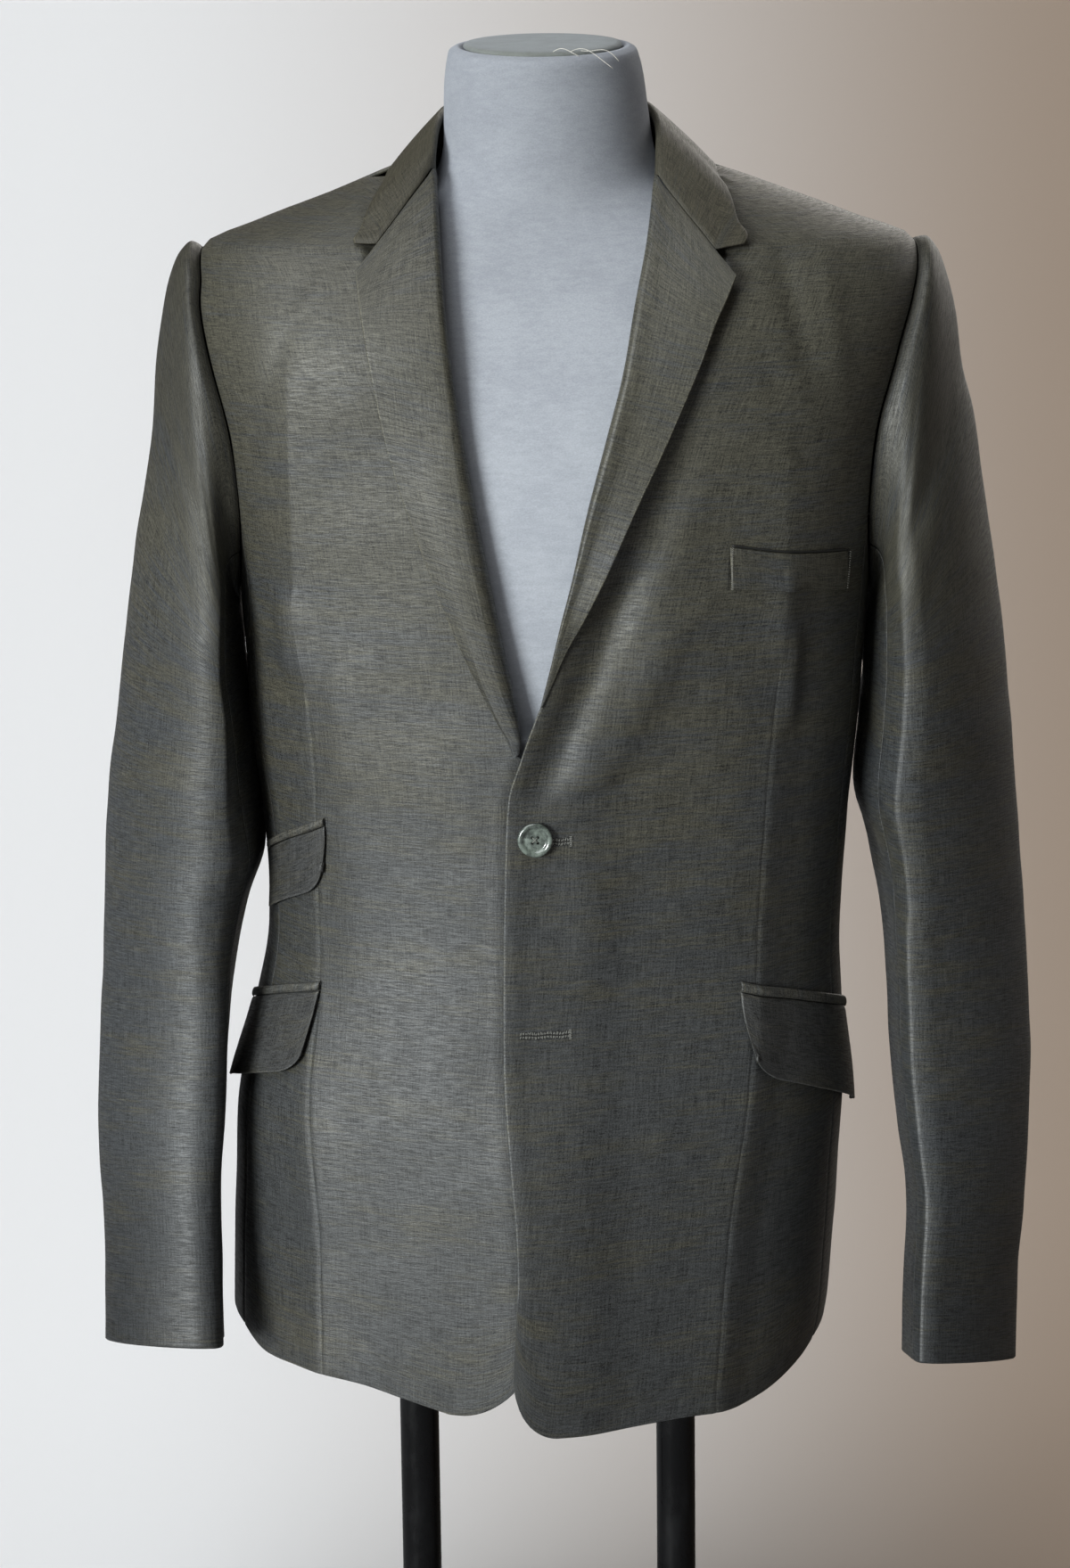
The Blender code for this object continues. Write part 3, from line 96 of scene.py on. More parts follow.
# Soft folds of the body, the solids' own first: side, x and z of the line's low end, x and z of
# its high end, half width, and height, which is below zero for a trough.
FOLD_ROWS = (
    ("front", 0.0100, 0.665, 0.0800, 0.840, 0.0130, -0.0030),    # beside the left lapel
    ("front", 0.0550, 0.700, 0.0820, 0.800, 0.0120, 0.0012),
    ("front", -0.1400, 0.520, -0.1420, 0.690, 0.0160, -0.0022),   # right waist dart
    ("front", 0.1220, 0.520, 0.1330, 0.700, 0.0160, -0.0022),    # left waist dart
    ("front", -0.1440, 0.700, -0.1500, 0.745, 0.0090, 0.0016),   # fullness over the darts
    ("front", 0.1350, 0.715, 0.1360, 0.760, 0.0090, 0.0016),
    ("front", -0.1220, 0.600, -0.1180, 0.820, 0.0170, 0.0016),   # long ridge of the right front
    ("front", 0.1480, 0.880, 0.1350, 0.945, 0.0080, -0.0018),    # under the left shoulder
    ("front", 0.1680, 0.870, 0.1600, 0.940, 0.0070, 0.0014),
    ("front", 0.0100, 0.630, 0.0700, 0.655, 0.0080, -0.0012),    # pull from the button
    ("back", 0.0000, 0.480, 0.0020, 0.700, 0.0300, -0.0030),     # hollow of the back
    ("back", 0.1150, 0.660, 0.1500, 0.860, 0.0150, -0.0022),     # drape over the blades
    ("back", -0.1150, 0.660, -0.1500, 0.860, 0.0150, -0.0022),
    # Finer creases, in the scene alone.
    ("front", -0.0060, 0.640, 0.0420, 0.762, 0.0120, -0.0052),   # under the roll's foot
    ("front", 0.0250, 0.640, 0.0790, 0.740, 0.0130, 0.0026),
    ("front", -0.1200, 0.715, -0.1180, 0.830, 0.0170, -0.0016),  # the long ridge ends at the chest
    ("front", -0.1530, 0.702, -0.1540, 0.748, 0.0058, 0.0026),   # fullness over the dart tops
    ("front", 0.1400, 0.674, 0.1420, 0.722, 0.0048, 0.0024),
    ("front", 0.0250, 0.530, 0.0240, 0.602, 0.0160, 0.0020),     # under the button
    ("front", -0.0100, 0.250, -0.0080, 0.440, 0.0450, 0.0080),   # left front, down from its edge
    ("front", -0.0150, 0.628, -0.0720, 0.668, 0.0060, -0.0007),
    ("front", -0.0160, 0.600, -0.0800, 0.590, 0.0070, -0.0005),
    ("front", 0.0150, 0.598, 0.0820, 0.575, 0.0070, -0.0006),
    ("front", -0.1560, 0.560, -0.1300, 0.640, 0.0070, 0.0006),
    ("front", 0.1500, 0.820, 0.1250, 0.885, 0.0080, -0.0006),
    ("front", -0.1620, 0.860, -0.1380, 0.930, 0.0080, -0.0007),
    ("front", -0.1500, 0.905, -0.1100, 0.950, 0.0060, 0.0005),
    ("front", 0.0950, 0.640, 0.0900, 0.760, 0.0140, 0.0007),
    ("front", -0.0700, 0.300, -0.0600, 0.470, 0.0180, 0.0006),
    ("front", 0.0500, 0.290, 0.0650, 0.450, 0.0200, 0.0007),
    ("front", -0.1180, 0.300, -0.1240, 0.450, 0.0120, -0.0007),
    ("back", 0.0600, 0.540, 0.1300, 0.600, 0.0080, -0.0009),
    ("back", -0.0500, 0.560, -0.1350, 0.590, 0.0090, -0.0008),
    ("back", 0.0300, 0.610, 0.1000, 0.640, 0.0070, 0.0007),
    ("back", -0.0400, 0.900, -0.1200, 0.930, 0.0080, 0.0006),
    ("back", 0.0500, 0.905, 0.1300, 0.925, 0.0080, 0.0006),
    ("back", 0.0700, 0.310, 0.0800, 0.460, 0.0180, 0.0008),
    ("back", -0.0850, 0.310, -0.0800, 0.450, 0.0180, 0.0007),
)

LEFT_EDGE_ROWS = (
    (0.289, -0.0225), (0.368, -0.0232), (0.423, -0.0267), (0.476, -0.0296), (0.529, -0.0290),
    (0.581, -0.0277), (0.634, -0.0250), (0.657, -0.0180), (0.684, -0.0082), (0.693, -0.0042),
    (0.702, 0.0002), (0.720, 0.0052), (0.762, 0.0178), (0.800, 0.0280), (0.840, 0.0400),
    (0.880, 0.0520), (0.915, 0.0610), (0.952, 0.0700), (0.985, 0.0730), (0.995, 0.0740),
)
RIGHT_EDGE_ROWS = (
    (0.330, -0.0060), (0.400, 0.0060), (0.625, 0.0060), (0.640, -0.0030), (0.652, -0.0120),
    (0.660, -0.0180), (0.668, -0.0235), (0.684, -0.0270), (0.719, -0.0340), (0.759, -0.0420),
    (0.800, -0.0490), (0.840, -0.0555), (0.880, -0.0610), (0.935, -0.0665), (0.975, -0.0690),
    (0.995, -0.0700),
)
LEFT_CORNER, RIGHT_CORNER = (0.030, 0.041), (0.052, 0.078)
# The long dart and the panel seam under it, as x at each height.
LEFT_DART_ROWS = ((0.271, 0.0955), (0.369, 0.1036), (0.444, 0.1146), (0.524, 0.1213),
                  (0.583, 0.1245), (0.6365, 0.1280), (0.711, 0.1345), (0.760, 0.1370))
RIGHT_DART_ROWS = ((0.283, -0.1418), (0.358, -0.1418), (0.444, -0.1466), (0.518, -0.1400),
                   (0.571, -0.1406), (0.626, -0.1400), (0.696, -0.1434), (0.745, -0.1480))
HEM_ROWS = (
    (-180, 0.2900), (-120, 0.2910), (-90, 0.2930), (-75, 0.2915), (-59, 0.2810), (-42, 0.2790),
    (-32, 0.2760), (-22, 0.2690), (-13, 0.2618), (0, 0.2500), (8, 0.2495), (31, 0.2530),
    (42, 0.2525), (50, 0.2560), (65, 0.2690), (75, 0.2790), (90, 0.2830), (120, 0.2880),
    (180, 0.2900),
)
WRAP_LIFT, WRAP_INNER, WRAP_OUTER = 0.0023, 0.012, 0.045

LAPEL_COLUMNS = ("roll_x", "roll_z", "edge_x", "edge_z", "roll_radius")
LEFT_LAPEL_ROWS = (
    (-0.0058, 0.6900, -0.0032, 0.6925, 0.0010), (0.0013, 0.7178, 0.0086, 0.7200, 0.0011),
    (0.0060, 0.7370, 0.0180, 0.7370, 0.0014), (0.0126, 0.7615, 0.0305, 0.7620, 0.0022),
    (0.0216, 0.8000, 0.0478, 0.8000, 0.0036), (0.0325, 0.8400, 0.0660, 0.8380, 0.0045),
    (0.0430, 0.8790, 0.0850, 0.8800, 0.0045), (0.0500, 0.9150, 0.0950, 0.9035, 0.0045),
    (0.0582, 0.9524, 0.1030, 0.9190, 0.0042), (0.0630, 0.9835, 0.1072, 0.9275, 0.0036),
)
RIGHT_LAPEL_ROWS = (
    (-0.0178, 0.6620, -0.0218, 0.6605, 0.0018), (-0.0168, 0.6700, -0.0250, 0.6690, 0.0028),
    (-0.0187, 0.6840, -0.0320, 0.6825, 0.0052), (-0.0254, 0.7190, -0.0495, 0.7190, 0.0078),
    (-0.0330, 0.7590, -0.0655, 0.7610, 0.0084), (-0.0404, 0.8000, -0.0790, 0.7990, 0.0080),
    (-0.0472, 0.8400, -0.0907, 0.8380, 0.0062), (-0.0532, 0.8800, -0.0990, 0.8800, 0.0048),
    (-0.0572, 0.9180, -0.1040, 0.9080, 0.0045), (-0.0597, 0.9560, -0.1062, 0.9230, 0.0043),
    (-0.0617, 0.9880, -0.1075, 0.9345, 0.0036),
)
LAPEL_LIFT, UNDER_LAPEL = 0.0026, 0.0042      # lapel over its front, and the front's drop there
LEFT_STAND_OFF, RIGHT_STAND_OFF = 0.0062, 0.0012

COLLAR_COLUMNS = ("crest_x", "crest_y", "crest_z", "edge_angle", "edge_z", "lift", "drop", "spread")
COLLAR_ROWS = (
    (-0.0617, -0.0360, 0.9880, -30.9, 0.9493, 0.0030, 0.007, -0.0010),
    (-0.0620, -0.0270, 0.9990, -37.2, 0.9615, 0.0030, 0.012, 0.0000),
    (-0.0614, -0.0130, 1.0080, -47.5, 0.9735, 0.0028, 0.017, 0.0020),
    (-0.0598, 0.0040, 1.0160, -60.0, 0.9832, 0.0016, 0.022, 0.0045),
    (-0.0560, 0.0260, 1.0222, -92.0, 0.9918, 0.0012, 0.027, 0.0060),
    (-0.0445, 0.0460, 1.0275, -121.0, 0.9908, 0.0014, 0.031, 0.0070),
    (-0.0240, 0.0610, 1.0325, -150.0, 0.9900, 0.0022, 0.034, 0.0050),
    (0.0020, 0.0662, 1.0345, -180.0, 0.9890, 0.0022, 0.035, 0.0020),
    (0.0275, 0.0610, 1.0330, -210.0, 0.9900, 0.0022, 0.034, 0.0050),
    (0.0485, 0.0460, 1.0280, -239.0, 0.9903, 0.0014, 0.031, 0.0070),
    (0.0606, 0.0260, 1.0225, -268.0, 0.9898, 0.0012, 0.027, 0.0060),
    (0.0645, 0.0040, 1.0165, -301.0, 0.9837, 0.0016, 0.022, 0.0035),
    (0.0655, -0.0145, 1.0085, -315.4, 0.9735, 0.0034, 0.017, 0.0010),
    (0.0645, -0.0300, 0.9975, -326.9, 0.9606, 0.0046, 0.012, 0.0000),
    (0.0630, -0.0450, 0.9835, -334.0, 0.9452, 0.0066, 0.007, -0.0010),
)
COLLAR_ROLL = 0.0029
GORGE_SHARE = 0.71

SLEEVE_COLUMNS = ("outer_x", "outer_z", "inner_x", "inner_z", "middle_y", "half_depth", "rise")
RIGHT_SLEEVE_ROWS = (
    (-0.2005, 0.9445, -0.1845, 0.7390, 0.0050, 0.0590, 0.00),
    (-0.2075, 0.9475, -0.1850, 0.7368, 0.0050, 0.0628, 0.00),
    (-0.2145, 0.9420, -0.1853, 0.7340, 0.0050, 0.0652, 0.00),
    (-0.2215, 0.9265, -0.1852, 0.7310, 0.0050, 0.0675, 0.00),
    (-0.2270, 0.9030, -0.1850, 0.7280, 0.0050, 0.0705, 0.00),
    (-0.2315, 0.8740, -0.1847, 0.7245, 0.0050, 0.0732, 0.00),
    (-0.2345, 0.8400, -0.1842, 0.7200, 0.0050, 0.0755, 0.00),
    (-0.2405, 0.8030, -0.1838, 0.7140, 0.0050, 0.0768, 0.00),
    (-0.2480, 0.7640, -0.1832, 0.7060, 0.0050, 0.0770, 0.00),
    (-0.2545, 0.7200, -0.1823, 0.6930, 0.0050, 0.0765, 0.00),
    (-0.2605, 0.6730, -0.1776, 0.6640, 0.0045, 0.0750, 0.00),
    (-0.2670, 0.6300, -0.1742, 0.6280, 0.0040, 0.0730, 0.01),
    (-0.2708, 0.5890, -0.1736, 0.5880, 0.0030, 0.0705, 0.03),
    (-0.2727, 0.5500, -0.1852, 0.5490, 0.0005, 0.0675, 0.06),
    (-0.2746, 0.5100, -0.1935, 0.5090, -0.0045, 0.0645, 0.10),
    (-0.2772, 0.4650, -0.1992, 0.4640, -0.0110, 0.0615, 0.15),
    (-0.2792, 0.4150, -0.2014, 0.4140, -0.0205, 0.0585, 0.19),
    (-0.2770, 0.3700, -0.2046, 0.3690, -0.0310, 0.0555, 0.21),
    (-0.2752, 0.3300, -0.2040, 0.3290, -0.0420, 0.0530, 0.22),
    (-0.2755, 0.2875, -0.2027, 0.2870, -0.0545, 0.0510, 0.23),
)
LEFT_SLEEVE_ROWS = (
    (0.2160, 0.9445, 0.1919, 0.7390, 0.0050, 0.0590, 0.00),
    (0.2235, 0.9455, 0.1924, 0.7368, 0.0050, 0.0628, 0.00),
    (0.2310, 0.9385, 0.1926, 0.7340, 0.0050, 0.0652, 0.00),
    (0.2375, 0.9230, 0.1924, 0.7310, 0.0050, 0.0675, 0.00),
    (0.2430, 0.9020, 0.1920, 0.7280, 0.0050, 0.0705, 0.00),
    (0.2475, 0.8690, 0.1916, 0.7245, 0.0050, 0.0732, 0.00),
    (0.2550, 0.8400, 0.1911, 0.7200, 0.0050, 0.0755, 0.00),
    (0.2607, 0.8010, 0.1905, 0.7140, 0.0050, 0.0768, 0.00),
    (0.2667, 0.7610, 0.1899, 0.7060, 0.0050, 0.0770, 0.00),
    (0.2735, 0.7160, 0.1891, 0.6930, 0.0050, 0.0765, 0.00),
    (0.2780, 0.6680, 0.1868, 0.6600, 0.0045, 0.0750, 0.00),
    (0.2820, 0.6220, 0.1838, 0.6210, 0.0040, 0.0730, 0.01),
    (0.2850, 0.5800, 0.1932, 0.5790, 0.0030, 0.0705, 0.03),
    (0.2880, 0.5400, 0.2002, 0.5390, 0.0005, 0.0675, 0.06),
    (0.2905, 0.5000, 0.2038, 0.5000, -0.0045, 0.0645, 0.10),
    (0.2916, 0.4550, 0.2055, 0.4560, -0.0110, 0.0615, 0.15),
    (0.2904, 0.4070, 0.2100, 0.4080, -0.0205, 0.0585, 0.19),
    (0.2868, 0.3620, 0.2146, 0.3640, -0.0310, 0.0555, 0.21),
    (0.2820, 0.3200, 0.2124, 0.3230, -0.0420, 0.0530, 0.22),
    (0.2802, 0.2680, 0.2103, 0.2730, -0.0545, 0.0510, 0.23),
)
FRONT_SLEEVE_SEAM, BACK_SLEEVE_SEAM = math.radians(136.0), math.radians(232.0)
# The pressed front line of a sleeve: how flat both sides of it are and how wide it rounds, and,
# for row numbers of the sleeve, how far it leans inwards.
PRESS_COLUMNS = ("name", "outer_flat", "inner_flat", "low_flat", "round_angle")
PRESS_ROWS = (("right", 0.18, 0.90, 0.15, 14.0), ("left", 0.45, 0.50, 0.50, 13.0))
LEAN_ROWS = {"right": ((0.0, 0.62), (9.5, 0.62), (11.5, 0.50), (12.5, 0.50), (13.5, 0.60),
                       (15.0, 0.80), (19.0, 0.80)),
             "left": ((0.0, 0.45), (9.5, 0.45), (12.0, 0.55), (14.0, 0.72), (19.0, 0.72))}
# Creases of the sleeves: row number and angle at the low end and at the high end, half width
# and height in metres.
SLEEVE_CREASE_ROWS = (
    (10.5, 150.0, 13.0, 100.0, 0.0080, -0.0010), (11.5, 185.0, 12.6, 130.0, 0.0070, -0.0010),
    (12.8, 170.0, 14.5, 125.0, 0.0075, -0.0008), (9.0, 200.0, 10.5, 150.0, 0.0085, -0.0008),
    (4.5, 20.0, 7.5, 60.0, 0.0120, -0.0006), (6.0, -40.0, 9.0, -10.0, 0.0130, -0.0007),
    (13.0, -60.0, 16.0, -20.0, 0.0110, -0.0007), (15.0, 60.0, 18.0, 75.0, 0.0120, 0.0005),
    (8.0, 55.0, 12.0, 62.0, 0.0160, 0.0005), (2.0, 70.0, 4.5, 100.0, 0.0070, -0.0005),
    (2.0, -70.0, 5.0, -95.0, 0.0080, -0.0007),
)

# Pockets: ends of the strip's lower edge as angle and height, then sizes of strip and flap.
POCKET_COLUMNS = ("name", "top_front", "top_front_z", "top_back", "top_back_z", "strip", "depth",
                  "back_depth", "cut_back", "corner", "corner_share", "stand_off")
POCKET_ROWS = (
    ("left", 36.5, 0.5130, 94.0, 0.4730, 0.0062, 0.0505, 0.0590, 0.0080, 0.0120, 0.14, 0.0062),
    ("right", -50.0, 0.5125, -100.0, 0.4800, 0.0055, 0.0490, 0.0500, 0.0022, 0.0130, 0.14, 0.0060),
    ("ticket", -47.5, 0.6125, -76.0, 0.5870, 0.0050, 0.0370, 0.0358, 0.0050, 0.0120, 0.25, 0.0014),
)
WELT_ROWS = ((0.1040, 0.7790, 0.7540), (0.1340, 0.7740, 0.7515), (0.1730, 0.7700, 0.7465))


# ---------------------------------------------------------------- curves
def table(columns, rows):
    """A dictionary of columns from rows."""
    return {name: np.array([row[k] for row in rows]) for k, name in enumerate(columns)}


def smooth(where, known, values):
    """Cubic curve through known values that never swings past them (limited tangents)."""
    known, values = np.asarray(known, float), np.asarray(values, float)
    step = np.diff(known)
    slope = np.diff(values) / step
    tangent = np.zeros(len(known))
    first, second = 2 * step[1:] + step[:-1], step[1:] + 2 * step[:-1]
    same_way = slope[:-1] * slope[1:] > 0
    safe = np.where(same_way, slope[:-1] * slope[1:], 1.0)
    blended = (first + second) * safe / (first * slope[1:] + second * slope[:-1] + (~same_way))
    tangent[1:-1] = np.where(same_way, blended, 0.0)
    tangent[0], tangent[-1] = slope[0], slope[-1]
    where = np.clip(np.asarray(where, float), known[0], known[-1])
    cell = np.clip(np.searchsorted(known, where, side="right") - 1, 0, len(known) - 2)
    width = step[cell]
    t = (where - known[cell]) / width
    return ((2 * t**3 - 3 * t**2 + 1) * values[cell] + (t**3 - 2 * t**2 + t) * width * tangent[cell]
            + (3 * t**2 - 2 * t**3) * values[cell + 1] + (t**3 - t**2) * width * tangent[cell + 1])


def ease(value, low, high):
    """Smooth step from 0 at low to 1 at high."""
    t = np.clip((np.asarray(value, float) - low) / (high - low), 0.0, 1.0)
    return t * t * (3 - 2 * t)


def unit(vector):
    """Vectors scaled to length 1."""
    return vector / np.maximum(np.linalg.norm(vector, axis=-1, keepdims=True), 1e-12)


def spread(count, near_first=(), near_last=()):
    """Even shares from 0 to 1, with extra ones close to either end."""
    last = 1.0 - np.asarray(near_last, float)
    return np.unique(np.concatenate([np.linspace(0.0, 1.0, count), near_first, last]))


BODY = table(BODY_COLUMNS, BODY_ROWS)
FORM = table(BODY_COLUMNS, FORM_ROWS)
HEM = table(("angle", "z"), HEM_ROWS)
LEFT_EDGE = table(("z", "x"), LEFT_EDGE_ROWS)
LEFT_DART, RIGHT_DART = table(("z", "x"), LEFT_DART_ROWS), table(("z", "x"), RIGHT_DART_ROWS)
FLATNESS, DART_TURN = 0.85, 0.0036      # share of the pressed bow, and drop past the dart
UNREST = 0.00016


# ---------------------------------------------------------------- the body's surface
def section(rings, z):
    """Centre, half width, depths and roundness of the ring at height z."""
    values = {name: smooth(z, rings["z"], rings[name]) for name in rings if name != "z"}
    values["front_y"] = RING_CENTRE_Y - values["front_y"]
    values["back_y"] = values["back_y"] - RING_CENTRE_Y
    return values


def ring_point(rings, angle, z):
    """Rounded ring: x and y are sine and cosine to the power 2/roundness, times its half sizes."""
    at = section(rings, z)
    sine, cosine = np.sin(angle), np.cos(angle)
    power = 2.0 / at["roundness"]
    depth = np.where(cosine > 0, -at["front_y"], at["back_y"])
    x = at["centre_x"] + at["half_width"] * np.sign(sine) * np.abs(sine) ** power
    y = RING_CENTRE_Y + depth * np.abs(cosine) ** power
    return np.stack([x, y, np.broadcast_to(z, x.shape)], axis=-1)


def ring_level(rings, point):
    """1 on the ring, more outside it."""
    x, y, z = point[..., 0], point[..., 1], point[..., 2]
    at = section(rings, z)
    depth = np.where(y < RING_CENTRE_Y, at["front_y"], at["back_y"])
    across = np.abs(x - at["centre_x"]) / at["half_width"]
    along = np.abs(y - RING_CENTRE_Y) / depth
    return across ** at["roundness"] + along ** at["roundness"]


def outward(rings, point):
    """Unit normal of the ring surface, from differences of its level."""
    step = 0.0004
    parts = [ring_level(rings, point + shift) - ring_level(rings, point - shift)
             for shift in np.eye(3) * step]
    return unit(np.stack(parts, axis=-1))


def fold_height(point):
    """Sum of ridges, each a bell curve across its line that fades at both ends.

    All of them fade close to the shoulder seam, so that front and back meet there.
    """
    total = np.zeros(point.shape[:-1])
    from_seam = ease(np.abs(point[..., 1] - RING_CENTRE_Y), 0.001, 0.016)
    seam_calm = 1 - ease(point[..., 2], 0.925, 0.945) * (1 - from_seam)
    for side, x_low, z_low, x_high, z_high, half_width, height in FOLD_ROWS:
        along = (point[..., 2] - z_low) / (z_high - z_low)
        line = x_low + (x_high - x_low) * along
        across = np.exp(-((point[..., 0] - line) / half_width) ** 2)
        ends = ease(along, -0.25, 0.20) * ease(-along, -1.25, -0.80)
        before = point[..., 1] < RING_CENTRE_Y
        faces = before if side == "front" else ~before
        total += height * across * ends * faces * seam_calm
    return total


def cloth_unrest(point):
    """Slight unevenness of worn cloth: five long waves that cross at different slants."""
    x, y, z = point[..., 0], point[..., 1], point[..., 2]
    waves = (np.sin(61 * x + 37 * z + 1.3) + 0.8 * np.sin(43 * z - 29 * x + 20 * y + 0.4)
             + 0.6 * np.sin(97 * z + 15 * x + 2.2) + 0.5 * np.sin(83 * x - 71 * z + 31 * y)
             + 0.4 * np.sin(140 * z - 33 * x + 0.9))
    return UNREST * waves


def pressed_flat(point):
    """Each pressed front is nearly flat from its edge to its dart: y moves to a shallow bow there.

    The bow is t times (0.55 + 0.45 t) of the depth from edge to dart. Past it the cloth turns.
    """
    x, z = point[..., 0], point[..., 2]
    ridge = smooth(z, LEFT_EDGE["z"], LEFT_EDGE["x"])
    ridge = ridge + (0.0 - ridge) * ease(z, 0.66, 0.74)
    left = x > ridge
    reach = np.where(left, smooth(z, LEFT_DART["z"], LEFT_DART["x"]),
                     smooth(z, RIGHT_DART["z"], RIGHT_DART["x"]))
    t = np.clip((x - ridge) / (reach - ridge), 0.0, 1.0)
    start, end = front_depth(ridge, z), front_depth(reach, z)
    share = FLATNESS * ease(t, 0.0, 0.10) * (t < 1) * ease(-z, -0.905, -0.835)
    moved = point.copy()
    faces = point[..., 1] < RING_CENTRE_Y
    past = np.where(left, x - reach, reach - x)
    turned = DART_TURN * ease(past, -0.001, 0.021) * ease(-z, -0.800, -0.700)
    flat = share * (start + (end - start) * t * (0.55 + 0.45 * t) - point[..., 1])
    moved[..., 1] += np.where(faces, flat + turned * ease(-point[..., 1], 0.0, 0.02), 0.0)
    return moved


def front_depth(x, z):
    """Depth y of the front ring surface at x and z."""
    at = section(BODY, z)
    across = np.clip(np.abs(x - at["centre_x"]) / at["half_width"], 0.0, 1.0)
    return RING_CENTRE_Y - at["front_y"] * (1 - across ** at["roundness"]) ** (1 / at["roundness"])


def body_point(angle, z, lift=0.0, folded=True):
    """Point of the jacket's body with its folds and creases, moved out by lift."""
    angle, z = np.broadcast_arrays(np.asarray(angle, float), np.asarray(z, float))
    point = pressed_flat(ring_point(BODY, angle, z))
    rise = cloth_unrest(point)
    if folded:
        rise = rise + fold_height(point)
    return point + outward(BODY, point) * (rise + lift)[..., None]


def angle_of(x, z):
    """Angle at which the front of the body ring at height z has this x."""
    at = section(BODY, z)
    share = np.clip((x - at["centre_x"]) / at["half_width"], -1.0, 1.0)
    return np.arcsin(np.sign(share) * np.abs(share) ** (at["roundness"] / 2))


def front_point(x, z, lift=0.0, folded=True):
    """Point of the jacket's front that is seen at x and z, moved out by lift."""
    return body_point(angle_of(x, z), z, lift, folded)


def hem_z(angle):
    """Height of the hem at an angle round the body."""
    return smooth(np.degrees(angle), HEM["angle"], HEM["z"])


def armhole_z(fraction):
    """Heights down the armhole, close together at its top and bottom."""
    middle, half = (TIP_Z + UNDERARM_Z) / 2, (TIP_Z - UNDERARM_Z) / 2
    return middle + half * np.cos(np.pi * np.asarray(fraction))


def armhole_angle(z, back):
    """Angle of the armhole's edge at height z, an ellipse seen from the side."""
    middle, half = (TIP_Z + UNDERARM_Z) / 2, (TIP_Z - UNDERARM_Z) / 2
    offset = ARMHOLE_DEPTH * np.sqrt(np.clip(1 - ((z - middle) / half) ** 2, 0.0, 1.0))
    at = section(BODY, z)
    depth = at["back_y"] if back else at["front_y"]
    angle = np.arccos(np.clip(offset / depth, 0.0, 1.0) ** (at["roundness"] / 2))
    return np.pi - angle if back else angle


def side_top(angle):
    """Height of the armhole's lower edge at angles between the side seams."""
    heights = armhole_z(np.linspace(0.5, 1.0, 400))
    angle = np.abs(np.asarray(angle, float))
    found = []
    for back in (False, True):
        angles = armhole_angle(heights, back)
        order = np.argsort(angles)
        found.append(np.interp(angle, angles[order], heights[order]))
    return np.where(angle > np.pi / 2, found[1], found[0])


def piece_edge(z, join_z, seam):
    """Angle of an outer edge: side seam, then armhole, then shoulder seam."""
    arm = armhole_angle(z, back=seam > np.pi / 2)
    return np.where(z <= join_z, seam, np.where(z >= TIP_Z, np.pi / 2, arm))


def seam_angle(z):
    """Half a seam gap, as an angle at the side of the body."""
    return SEAM_GAP / 2 / smooth(z, BODY["z"], BODY["half_width"])


# ---------------------------------------------------------------- shells
def grid_normals(points, facing):
    """Unit normals of a grid from its own differences, turned the way facing says."""
    normal = unit(np.cross(np.gradient(points, axis=0), np.gradient(points, axis=1)))
    if np.sum(normal * facing(points)) < 0:
        normal = -normal
    return normal


def lengths(points, axis):
    """Distance along the grid lines from their first point."""
    steps = np.linalg.norm(np.diff(points, axis=axis), axis=-1)
    start = np.zeros_like(np.take(steps, [0], axis=axis))
    return np.concatenate([start, np.cumsum(steps, axis=axis)], axis=axis)


def finish_edges(points, normals, free=(), sewn=(), radius=0.0009, groove=0.0004):
    """Round free edges over a quarter circle and press sewn ones into a shallow groove.

    Returns the new points and each point's distance to the nearest free edge.
    """
    across, up = lengths(points, 1), lengths(points, 0)
    distance = {"first": across, "last": across[:, -1:] - across,
                "low": up, "high": up[-1:, :] - up}
    drop = np.zeros(points.shape[:2])
    edge = np.full(points.shape[:2], FAR)
    for side in free:
        inside = np.clip(1 - distance[side] / radius, 0.0, 1.0)
        drop = np.maximum(drop, radius * (1 - np.sqrt(1 - np.minimum(inside, 0.999) ** 2)))
        edge = np.minimum(edge, distance[side])
    for side in sewn:
        drop = drop + groove * np.exp(-(distance[side] / 0.0013) ** 2)
    return points - normals * drop[..., None], edge


def cut_map(points, turned=False, slant=0.0):
    """Flat cloth coordinates in metres: across from the middle column and along the middle row."""
    middle = points.shape[1] // 2
    across = lengths(points, 1)
    u = across - across[:, middle:middle + 1]
    v = lengths(points, 0).mean(axis=1, keepdims=True) * np.ones((1, points.shape[1]))
    if turned:
        u, v = v, u
    return np.stack([u, v + slant * u], axis=-1)


def put_mesh(name, points, quads, corner_uv, marks):
    """Make the object of a piece from arrays, with its cloth map and its marks."""
    mesh = bpy.data.meshes.new(name)
    mesh.vertices.add(len(points))
    mesh.vertices.foreach_set("co", np.ascontiguousarray(points, np.float32).ravel())
    mesh.loops.add(quads.size)
    mesh.loops.foreach_set("vertex_index", quads.ravel().astype(np.int32))
    mesh.polygons.add(len(quads))
    mesh.polygons.foreach_set("loop_start", np.arange(0, quads.size, 4, dtype=np.int32))
    mesh.update(calc_edges=True)
    mesh.uv_layers.new(name="cut").data.foreach_set("uv", corner_uv.astype(np.float32).ravel())
    for mark, values in marks.items():
        layer = mesh.attributes.new(mark, "FLOAT", "POINT")
        layer.data.foreach_set("value", values.astype(np.float32).ravel())
    mesh.shade_smooth()
    mesh.validate()
    piece = bpy.data.objects.new(name, mesh)
    bpy.context.scene.collection.objects.link(piece)
    return piece


